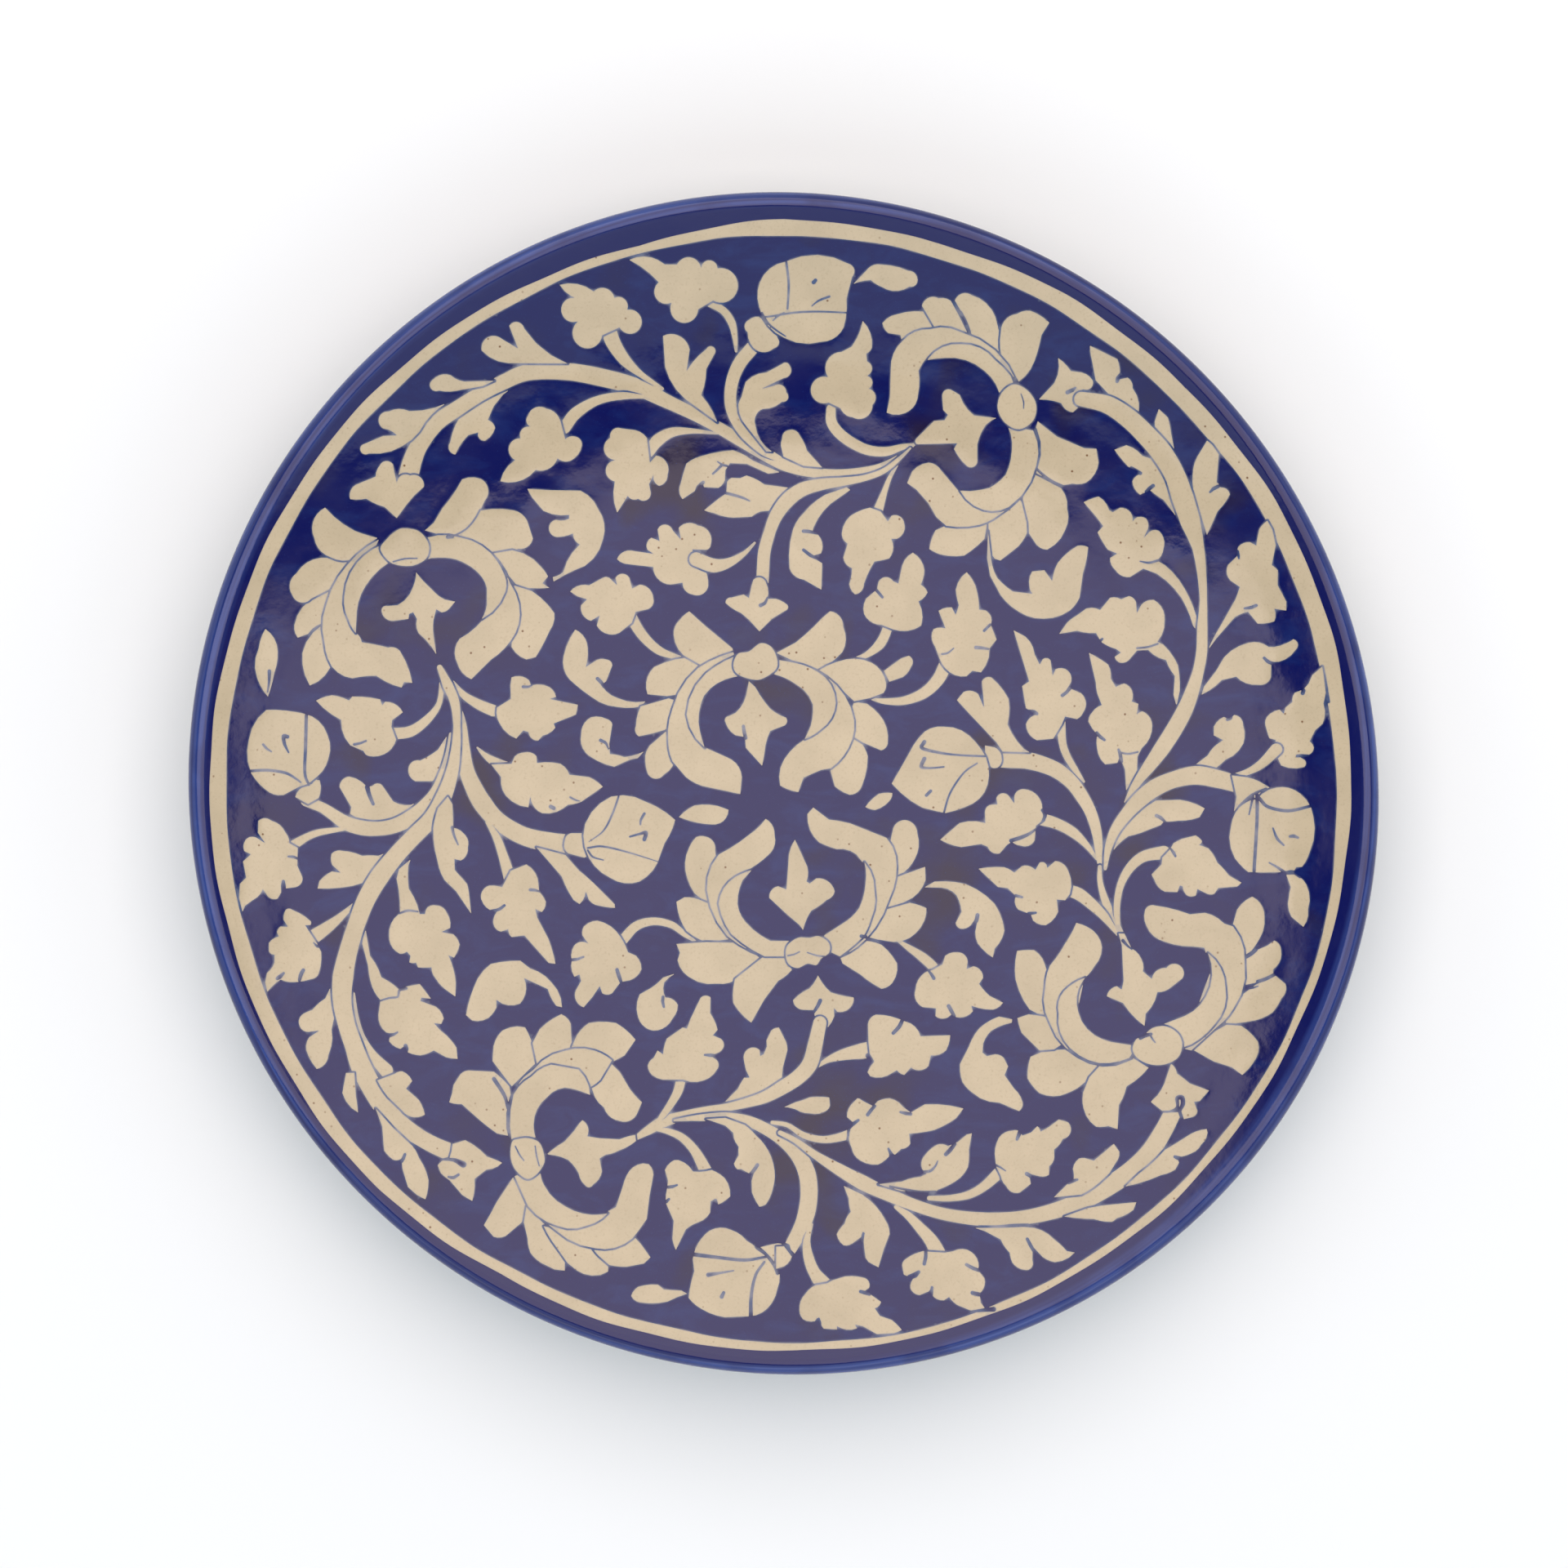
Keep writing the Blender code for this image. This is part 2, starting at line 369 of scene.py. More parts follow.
def lotus_upper_left(c):
    """The lotus round the disc at (-97, 61), which opens downwards."""
    c.patch([(-98.5, 67.8), (-96, 71.2), (-94, 73.6), (-91.6, 75.8, .3), (-95, 78.6, .3), (-98.3, 76.5),
            (-98.9, 79.3), (-99.2, 81.3, .3), (-102.5, 81, .1), (-103.6, 78.2), (-108, 76.3, .2),
            (-110, 72.4, .05), (-106, 72.6, .05), (-101.5, 70.6)])
    c.patch([(-120.3, 46.8, .1), (-124.2, 40.5, .1), (-123.4, 37.3), (-120.8, 38.3, -.1), (-117.2, 41),
            (-114.5, 50)])
    c.patch([(-117.3, 40.6, .1), (-122.3, 33.5, .08), (-120.5, 25.2, .1), (-115.4, 29.8), (-114, 36)])
    c.patch([(-115.5, 57.6, .15), (-123.5, 53.6, .2), (-124.6, 48, .3), (-120, 47.2), (-114.8, 50),
            (-110, 56.4)])
    c.patch([(-116.2, 70.2, -.05), (-109, 64.5, -.02), (-103, 62.7, .05), (-109.2, 57.5, .12),
            (-115, 57.7, .15), (-119, 62.5, .2)])
    c.patch([(-103, 62.4, .05), (-111, 55.8, .06), (-116.2, 46, .08), (-116.8, 36, .06), (-115, 30, .1),
            (-110, 27.1, -.03), (-104, 27.8, .05), (-97.6, 24.8), (-97, 26.2), (-94.9, 26, .05),
            (-98, 34.2, .15), (-101, 35, .02), (-107.5, 36.3, .12), (-109.6, 39.2), (-110, 50), (-105, 58)])
    c.patch([(-102.5, 61, .06), (-108.5, 56.5, .08), (-111.8, 48, .08), (-110.8, 42, .06), (-109, 38.6),
            (-108.7, 44, -.06), (-106.5, 50.5, -.06), (-100.5, 56.6)])
    c.patch([(-91.5, 64.8), (-89.3, 66.7), (-87, 70.5, -.03), (-82, 77.8, .1), (-77.3, 78, .25),
            (-76.3, 72.5), (-77.4, 70.2), (-80.8, 65.2, .05), (-85, 63)])
    c.patch([(-85.2, 63, -.05), (-80.8, 65.2, -.05), (-77.4, 70, .05), (-69, 70.1, .15), (-65.3, 66.5),
            (-64.2, 63, .2), (-67.8, 60.3, -.02), (-75, 58.5)])
    c.patch([(-75, 59), (-69.5, 60, .1), (-62, 55.6, .05), (-60.4, 53.3), (-61.8, 51.6), (-60, 50.4, .03),
            (-68, 50.6)])
    c.patch([(-69, 51), (-64.5, 49.6, .05), (-58.8, 44, .1), (-60, 39.5, .02), (-63.6, 32.7),
            (-66, 32.1, .1), (-69.8, 35.3), (-69.5, 40)])
    c.patch([(-91, 63, .08), (-82.5, 63.1, .08), (-75, 59.3, .06), (-70, 51.5, .08), (-67.6, 43.5, .08),
            (-70, 36.8, .05), (-75, 32), (-78, 29), (-80, 27, .12), (-83.5, 31, .15), (-83, 37.3, -.05),
            (-77, 42.3), (-73, 48), (-76, 55), (-85, 60)])
    c.patch([(-91, 63, .08), (-82.5, 63.1, .08), (-75, 59.3, .05), (-71.4, 53.5, .08), (-71.2, 49.5, .1),
            (-77.4, 42.3, -.05), (-76, 46), (-76, 50.5, -.06), (-78, 54, -.04), (-81, 56.3, -.05),
            (-85, 57.8, -.03), (-90, 57.8), (-93.5, 56.3)])
    c.blob([(-97, 65.3), (-93, 64.6), (-90.6, 61.5), (-91, 58), (-94, 56), (-97.5, 55.8), (-100.5, 56.8),
           (-102.7, 60), (-101, 62.6), (-99.3, 64.2)])
    c.brush([(-99.5, 56.8), (-96.5, 57.6), (-93.5, 57.7)], (.4, .4, .3))
    c.brush([(-85.8, 63.2), (-84.6, 63.3)], (.9, .9))
    c.patch([(-93.8, 54.2), (-92, 52), (-89, 49, -.05), (-86.5, 47.3), (-84, 46.8), (-85.5, 45, .1),
            (-87.5, 44), (-88.8, 44.8), (-89.5, 42, -.03), (-89.5, 38), (-88.8, 33.2, -.05),
            (-93.3, 38.7, .1), (-93.7, 42.3), (-94.6, 44), (-95.6, 43.6), (-95.8, 42.3), (-99.5, 41.8, .2),
            (-102.5, 44, .3), (-101, 45.6), (-98.5, 45.8, -.1), (-94.6, 50.5, -.05)])


def leaves_left(c):
    """Leaves, curls and the bud between the left rim and the middle."""
    c.vine([(-88, 29), (-87.6, 25), (-88.3, 20.5), (-91.3, 16.6), (-95.5, 13.6), (-100.5, 13)],
           [.6, 1.2, 1.4, 2.2, 2.8, 3])
    c.patch([(-119, 21.4, .05), (-115, 22.8, .05), (-110.8, 21.5), (-110, 22.5, .03), (-103, 21.8),
            (-102.5, 20.3), (-101.8, 21.2, .15), (-97.3, 18.5), (-100, 16.5), (-100.2, 14.8),
            (-99, 11.5, .2), (-105.8, 7.3, .15), (-107.2, 8.6), (-110.5, 10, .1), (-112.8, 16.5, .05)])
    c.brush([(-109.5, 10.3), (-108, 10.6), (-106.6, 11.2)], (.7, .6, .5))
    c.patch([(-131.3, 39.5, .12), (-128.3, 34, .05), (-129.2, 28.3, .02), (-130.8, 22.3, .05),
            (-133.4, 27, .1), (-133, 34.5, .05)])
    c.brush([(-130.4, 28.8), (-130.5, 26), (-130.9, 23.5)], (.9, .6, .4))
    c.patch([(-65.6, 75.6), (-64.3, 73.3), (-61.5, 70, .08), (-55, 69), (-55, 68.1, -.1), (-58.3, 67.8, .5),
            (-57.5, 63.4, .05), (-54, 64.3, .15), (-52.3, 61.5, .08), (-56.5, 54.5, -.08), (-59.2, 53.2),
            (-59, 52, -.03), (-51, 56, .1), (-46.3, 63, .12), (-47.5, 70.5, .1), (-52, 75.2), (-60, 75.3)])
    c.patch([(-26.4, 62.8), (-27, 65.8, .2), (-22, 66.4, .25), (-18.8, 61.5, .2), (-20, 60.2),
            (-23.5, 60.3), (-22, 56), (-20, 54.8, .05), (-19.4, 51, .25), (-23.5, 48.8, .2), (-26, 51.8),
            (-29, 51.3, .2), (-33.6, 55.8), (-40, 56.5, .1), (-42.8, 57.8, .2), (-38.5, 59.9),
            (-33.5, 59.2), (-35, 60.2, .2), (-34, 63.3), (-31.9, 62.5), (-32.4, 65.4, .35), (-28.5, 65.2)])
    c.vine([(-7.5, 62), (-10.2, 59.3), (-14, 57), (-18, 56.2), (-22.5, 57.8)], [.6, 1.2, 2.4, 3.6, 3.6])
    c.vine([(-22, 31.2), (-27, 32.6), (-32, 34.4), (-36, 38), (-38.6, 42), (-39.2, 45)],
           [.5, 1.2, 2.2, 2.6, 2.8, 2])
    c.patch([(-54.8, 49.5, .15), (-50, 51.1), (-46.5, 53, .2), (-44.3, 52.6), (-42.8, 51.2),
            (-43.2, 53, .3), (-39.6, 53), (-38.9, 50.3), (-37, 51.3, .2), (-33.5, 47.8, .2), (-34.9, 45),
            (-38, 44.3), (-39, 41.5), (-42.2, 38.9, .2), (-48, 40.8), (-47.3, 43.3), (-49.5, 42, .2),
            (-52, 46), (-50.5, 47.5), (-53, 48.3)])
    c.patch([(-53.5, 39.8, .15), (-50.3, 35, .05), (-50.8, 30.2), (-48, 32, .1), (-45.5, 32.1, .2),
            (-44, 30.6), (-45.6, 26.5), (-46.8, 25.6, -.1), (-42.5, 22.2, -.08), (-35.5, 21.4),
            (-36.5, 20.1, .05), (-42.5, 19.9, .08), (-49.5, 22.6, .02), (-55, 27, .12), (-56.5, 33, .05)])
    c.brush([(-47.8, 27.2), (-46.8, 26.2), (-46.3, 25)], (.9, .9, .4))
    c.patch([(-49.5, 17.3, .1), (-45.5, 16.9, .15), (-44, 15.5), (-44.8, 10.5), (-44.6, 7.9, .05),
            (-41, 7.1, -.05), (-35.8, 8.6), (-37.5, 6.8, -.05), (-40.5, 6), (-43.5, 4.6, .05),
            (-50, 7.4, .15), (-52, 13, .15)])
    c.brush([(-47, 11.4), (-45.7, 10.7), (-45, 9.2)], (.9, .7, .4))
    c.vine([(-85, 26.5), (-82, 23), (-78, 20.5), (-74.5, 19)], [1, 1.8, 2.6, 3])
    c.patch([(-52.8, 20.5), (-53.3, 18), (-59, 15.7), (-58.6, 14.6, .1), (-61.8, 12.6), (-63, 11.3, .2),
            (-65.5, 13.5), (-66.8, 13.9), (-68.6, 11.8, .1), (-73, 16, .1), (-73.5, 19.8), (-70, 22),
            (-70.1, 25.5), (-69.8, 27.5, .15), (-65.3, 26.8), (-64.8, 25.5, .1), (-60, 25, .1),
            (-58.4, 22.5), (-60, 22)])
    c.brush([(-66.8, 25.1), (-65.5, 25.1), (-64.6, 25.5)], (.8, .6, .4))


def lotus_middle_upper(c):
    """The lotus round the disc at (-7, 31), which opens downwards."""
    c.vine([(-5.6, 50), (-5.4, 55), (-5, 60), (-3.6, 65), (-2, 69), (.8, 72.8), (4.6, 75.6), (9.5, 76.9),
           (15, 77.6), (20.5, 78.5), (25.5, 80.3), (29.5, 83.4), (32.3, 86)],
           [3.2, 3.2, 3.2, 3, 3.4, 3.8, 3.6, 3, 2.2, 1.6, 1.4, 1, .5], root=0)
    c.patch([(-6.3, 39.3), (-9, 42.3), (-11, 44, .05), (-15, 46.6, .25), (-13.5, 48), (-10.3, 48.8),
            (-9, 47.9), (-8.4, 50.8), (-7.9, 52.5, .3), (-4.6, 51.8, .1), (-4.2, 47.7), (-2, 47.7, .05),
            (.8, 46.2, .3), (.3, 44.6), (-3, 42.6)])
    c.brush([(-6, 46), (-4.9, 46.6), (-4.2, 48)], (1, .8, .5))
    c.patch([(-36.8, 20.1), (-29.5, 22.2), (-26, 21), (-28, 14.8), (-33.5, 13.2), (-37.2, 12.4, .2),
            (-38, 15, .05)])
    c.patch([(-29, 14.8), (-34.5, 10, .05), (-35.6, 7.5, .05), (-35, 3, .3), (-30.8, 2.6, .1), (-28, 6)])
    c.patch([(-20.5, 30.6, .05), (-25, 32.6, .05), (-33.3, 30.2, .15), (-35, 23.2), (-30, 22.7),
            (-25, 23.5)])
    c.patch([(-24.3, 44.5), (-20, 40.6), (-13.2, 35, .05), (-13, 33), (-20.8, 30.4), (-25.8, 33.2, .1),
            (-28.3, 38.4, .12), (-26.8, 42.2, .05)])
    c.patch([(-9, 26.6), (-7.3, 25, -.03), (-3.5, 19.5, -.05), (.6, 17.2, .2), (.2, 15.2),
            (-3.5, 13.8, -.05), (-5, 8), (-5.6, 4.8), (-9.8, 9.5), (-10, 12.2), (-12.5, 12.7, .1),
            (-15, 16, .3), (-14.2, 17.6), (-12.5, 18.4, -.08), (-9.7, 23)])
    c.brush([(-10.4, 15), (-10.2, 13.5), (-9.8, 12)], (.8, .9, .9))
    c.patch([(-2, 33.8), (3, 36.5, -.02), (9.8, 42.8), (11.8, 44.5, .2), (15.2, 40.5, .12), (15, 34, .05),
            (8.7, 29.3), (4, 31)])
    c.patch([(17.6, 12.8), (20, 10.5, .05), (21.5, 7.3, .05), (19.9, -.5, .15), (16.8, -2.6, .05),
            (13, -.4), (11.8, 4), (13, 8)])
    c.patch([(18, 21.3), (21.3, 20.8, .05), (25.5, 16.6, .08), (26.6, 10.5, .15), (24.9, 8.8), (20, 10.9),
            (15, 14.2)])
    c.patch([(8.7, 29.2, .05), (16, 32.2, .08), (22.5, 31.3, .12), (26.2, 26, .1), (25.5, 23.5), (22, 22.2),
            (18, 21.4), (13, 26)])
    c.patch([(-13, 34, .04), (-22, 30, .08), (-28.6, 19.5, .06), (-29.7, 11, .05), (-28.6, 6),
            (-25.2, 2, .05), (-21, -.3), (-11.2, -2.4), (-10.8, 2, .15), (-14.5, 7), (-20.3, 9.6),
            (-23, 16), (-18, 27), (-12, 31)])
    c.patch([(-12.5, 33, .04), (-20, 28.6, .1), (-25, 18, .1), (-20.3, 9.5, -.03), (-21.9, 16, -.06),
            (-20.5, 22.8, -.08), (-15, 27, -.03), (-11, 27.9)])
    c.patch([(-1.5, 32, .02), (5, 30.7, .06), (13.5, 25.5, .08), (18, 16.5, .08), (16.5, 9.3, .06),
            (12, 4.2), (9.5, 3.8), (5, 1.8), (3.7, -1.9, .05), (-1, -.2, .1), (0, 6.5, .06), (5.5, 11.8),
            (10, 16), (8, 24), (0, 30)])
    c.patch([(-1.5, 32, .02), (5, 30.7, .05), (10.5, 27.6, .1), (13.3, 21, .12), (9.5, 14.2, .05),
            (5.3, 11.7), (6.8, 15, -.04), (7.4, 20.5, -.1), (3, 25.8, -.05), (-2.5, 28.3)])
    c.blob([(-13, 31), (-11.8, 33.6), (-9, 34.2), (-6, 36.3), (-3.2, 35.3), (-1.7, 32), (-2.2, 29.4),
           (-6, 27), (-9.5, 27.3), (-12.3, 28.7)])


def leaves_right_of_middle(c):
    """Leaves, stems and the bud between the middle lotus and the right-hand vine."""
    c.vine([(17, 32), (21, 33.2), (24.5, 36), (26.3, 39.5), (27, 43)], [.6, 1.5, 2.6, 2.5, 2.6])
    c.patch([(33, 59.5, .12), (36, 55, .05), (35.1, 51.3, .1), (36.8, 49.3, .1), (34.5, 47, .1),
            (35.2, 40.8, .12), (28, 39.8), (25, 41, .15), (20.5, 43.8, .1), (21, 47.7), (23.8, 50.1),
            (24.2, 52, .3), (28, 52.2), (29.3, 51.6), (30.3, 56.3, .1)])
    c.brush([(23.6, 50), (25.2, 48.1)], (.8, .7))
    c.vine([(30.3, 84), (28.7, 81.5), (27, 78.5), (25.7, 75), (24, 70)], [.4, .8, 1.1, 1.5, 2.6], root=0)
    c.patch([(22, 71, .05), (17, 68.9, .1), (14.8, 64.5, .15), (16.3, 61.8), (15.2, 58.3, .15),
            (17.4, 55.5, -.05), (16.7, 51.5, .1), (18.2, 48.8, .2), (20.5, 51.5, -.03), (23.2, 57.2, .02),
            (27, 58, .15), (27.5, 63), (28.9, 63, .2), (30.8, 67, .25), (27.5, 68.9), (26.6, 67.5),
            (24.8, 70)])
    c.patch([(16, 76.2), (10.5, 74.3, .05), (5, 69.6, .06), (2.3, 65.5, .05), (1.4, 55.5, .15), (5, 52.6),
            (9.6, 50), (9.8, 56.8), (7.8, 58), (7.8, 58.8), (9.5, 59.3, .15), (8.8, 64), (7.3, 64.8),
            (7.6, 66, -.06), (12, 72), (17, 75.5)])
    c.brush([(5, 60.2), (6.8, 58.8), (8.4, 58)], (.8, .9, .6))
    c.brush([(5, 65), (6.5, 64.9), (8.4, 64.4)], (.9, .9, .6))
    c.vine([(22.5, 22), (26, 21.4), (31, 21.6), (36, 23.6), (39.5, 27), (41.5, 31)],
           [.6, 1.6, 2.2, 2.8, 3.2, 3.4])
    c.patch([(46.8, 54.5, .08), (49.6, 49, .03), (50, 44.9), (51.6, 44.7, .2), (53, 41), (54.5, 37.2),
            (52.7, 35, .1), (50.5, 28.8), (48.3, 29.2), (46.8, 27.8, .1), (42.5, 28.8, .08), (39.8, 32.5),
            (38.7, 35.5, .15), (38.3, 39.9, .1), (41.4, 40.1), (39.6, 44.6, .08), (43, 45.5), (44, 43.6),
            (44.8, 46, .03), (44, 50, .1)])
    c.brush([(51.3, 39.5), (52.8, 41)], (.7, .7))
    c.brush([(49.2, 35.2), (50.5, 35.1), (52.4, 34.8)], (.9, .8, .5))
    c.brush([(40.5, 33.5), (42, 33.8), (43.5, 35)], (.5, .5, .3))
    c.patch([(25.6, 29.2), (30, 32.4), (32, 33.1, .25), (32.6, 30.3, .08), (30.5, 27.6), (27, 26.4)])
    c.vine([(54.8, 6.7), (58, 6.6), (62, 6.3), (66, 5.3), (70, 3.6), (73.5, .8), (76, -2.5), (78.5, -7),
           (80, -12), (80.6, -17), (81, -22)], [4.6, 4.6, 4.4, 4.2, 4, 3.6, 3.4, 3, 2.6, 2, 1], root=0)
    c.patch([(44.3, 21.7), (46, 23.8, .15), (49.8, 23.3), (51.3, 19.7), (50.7, 26.5, .2), (53.2, 27.5, .05),
            (57.6, 22, .05), (57.3, 15.5, -.05), (61.5, 9.2), (63, 8.3), (56, 8.5), (54.5, 10.8),
            (47.5, 18.2)])
    c.patch([(51.5, 10.1), (54, 9.6, .15), (55.8, 7, .15), (54.8, 4.4, .1), (53.2, 4.4), (51.6, 6.5)])
    c.patch([(36, 13.6, .1), (41, 14.9, .1), (47.5, 12.6, .05), (51.8, 7, .08), (52.2, 0, .1),
            (48.5, -4.8, .03), (41.3, -7.3), (35.5, -5.9, .05), (27.6, .3), (32, 8, .05)])
    c.brush([(36, 11), (35.4, 9.4), (40, 8.2), (45, 7.6), (51.5, 7.3)], (1, .8, .5, .5))
    c.brush([(49.5, 5.5), (46.5, 3.5), (44, .3), (42.2, -3), (41, -7.2)], (.4, .5, .5))
    c.brush([(36, 6.7), (35.2, 5), (35.6, 4.4), (38, 4.3), (41, 4.6)], (1, .9, .5, .4))
    c.brush([(37.6, -1.6), (36.5, -2.7)], (.8, .8))
    c.patch([(20.8, -5.7, .05), (24.3, -2.3, .05), (27.8, -2.1, .1), (27, -4.2, .08), (23.3, -6.5, .05)])


def leaves_left_of_middle(c):
    """Leaves and the bud between the left-hand vine and the lower middle lotus."""
    c.vine([(-78.5, 9.5), (-76.5, 7.5), (-74, 5.8), (-70, 4)], [.5, 1.4, 2.4, 3])
    c.patch([(-75, 5.2), (-69.8, 5.4), (-69, 7.3, .1), (-66.5, 8.3, .15), (-63.4, 7.3), (-63.3, 5.6, .05),
            (-57.3, 5.4, .1), (-55, 2.6), (-50, 2, .05), (-46.4, -.5), (-52, -4.4, .05), (-55.3, -5.1),
            (-56.5, -6, .1), (-62, -7.3, .15), (-65, -2.9), (-65.5, -5.8, .1), (-71.3, -2.8, .1),
            (-72.5, 2)])
    c.brush([(-59.8, -5.6), (-59, -6)], (1, 1))
    c.brush([(-54.8, -3.2), (-53.5, -3.9), (-52.3, -4.2)])
    c.patch([(-63.5, -16), (-57, -23.5, .03), (-54, -29.5), (-52.4, -30.6, .1), (-50.8, -27.4),
            (-50, -29.6, .1), (-47.5, -31, .02), (-43.3, -31.6), (-43.4, -30.6), (-47.2, -26.8, .02),
            (-52.5, -22), (-56, -18)])
    c.patch([(-55.9, -13.3, .15), (-54, -12.4), (-51.3, -12.4), (-50, -15.3), (-49, -17.8), (-51.2, -18.7),
            (-55.3, -17.6, .1), (-56.4, -15.8, .05)])
    c.patch([(-51, -10, .1), (-44.3, -3, .1), (-35.5, -4.3, .05), (-27.9, -9, .05), (-30.6, -15),
            (-32.4, -20, .08), (-37, -24.8, .12), (-44.5, -23.9, .08), (-50, -18.8, .1)])
    c.brush([(-42.4, -3), (-44, -7.5), (-46.3, -11.8), (-50, -14.6)])
    c.brush([(-50.3, -16.2), (-46.5, -15.8), (-40, -17.3), (-32.3, -19.7)])
    c.brush([(-50.3, -16.8), (-49, -18.5), (-46.3, -19.3)], (.5, .5, .3))
    c.brush([(-35.8, -7.4), (-36.7, -9), (-36.8, -10.2)], (.7, .6, .4))
    c.brush([(-39.5, -13.3), (-37, -12.6), (-35.4, -12.3), (-35.8, -14)], (.5, .6, 1, 1))
    c.patch([(-27, -8.3, .05), (-23, -5.3, .05), (-17, -5.4), (-14.2, -6.4, .1), (-15.5, -9.3, .1),
            (-18.5, -10.2, .03), (-24, -9.3)])
    c.vine([(-22.5, -40.3), (-25.5, -38.3), (-28.8, -35.9), (-33.5, -35), (-38, -36.3), (-41.5, -40)],
           [.6, 1.4, 1.8, 2, 2.4, 2.6])
    c.patch([(-47.8, -34.8, .08), (-43, -37.5, .03), (-40.5, -41.5), (-40, -42.9), (-37.9, -43.8, .1),
            (-36.5, -47.2, .15), (-40.5, -50.3), (-41.9, -50.6), (-44, -53.4, .15), (-46.6, -53.4),
            (-47.2, -51.6), (-49, -54.3), (-51.3, -57, .25), (-53, -52), (-52, -50.3), (-52.4, -48.6),
            (-53.7, -49.2, .1), (-54.4, -45, .1), (-53.8, -41.2, .2), (-50.2, -40.7), (-51.7, -38.6, .1),
            (-51.3, -36.3, .1)])
    c.brush([(-54.8, -44.9), (-53, -44.7), (-51.4, -44.1)], (.8, .7, .5))
    c.brush([(-42.8, -47.4), (-42.3, -49), (-41.8, -50.4)], (.9, 1, .8))
    c.patch([(-26.5, -47.9), (-31, -49.4, -.03), (-34, -52), (-37, -53.7, .1), (-37.4, -59.5, .15),
            (-33.5, -63, .15), (-28.6, -60, .1), (-27.2, -56.4, .15), (-30.4, -54.5, -.1),
            (-30.7, -50.7, -.08)])
    c.brush([(-31, -54.4), (-31.1, -55.5), (-30.8, -56.9)], (.8, .8, .6))


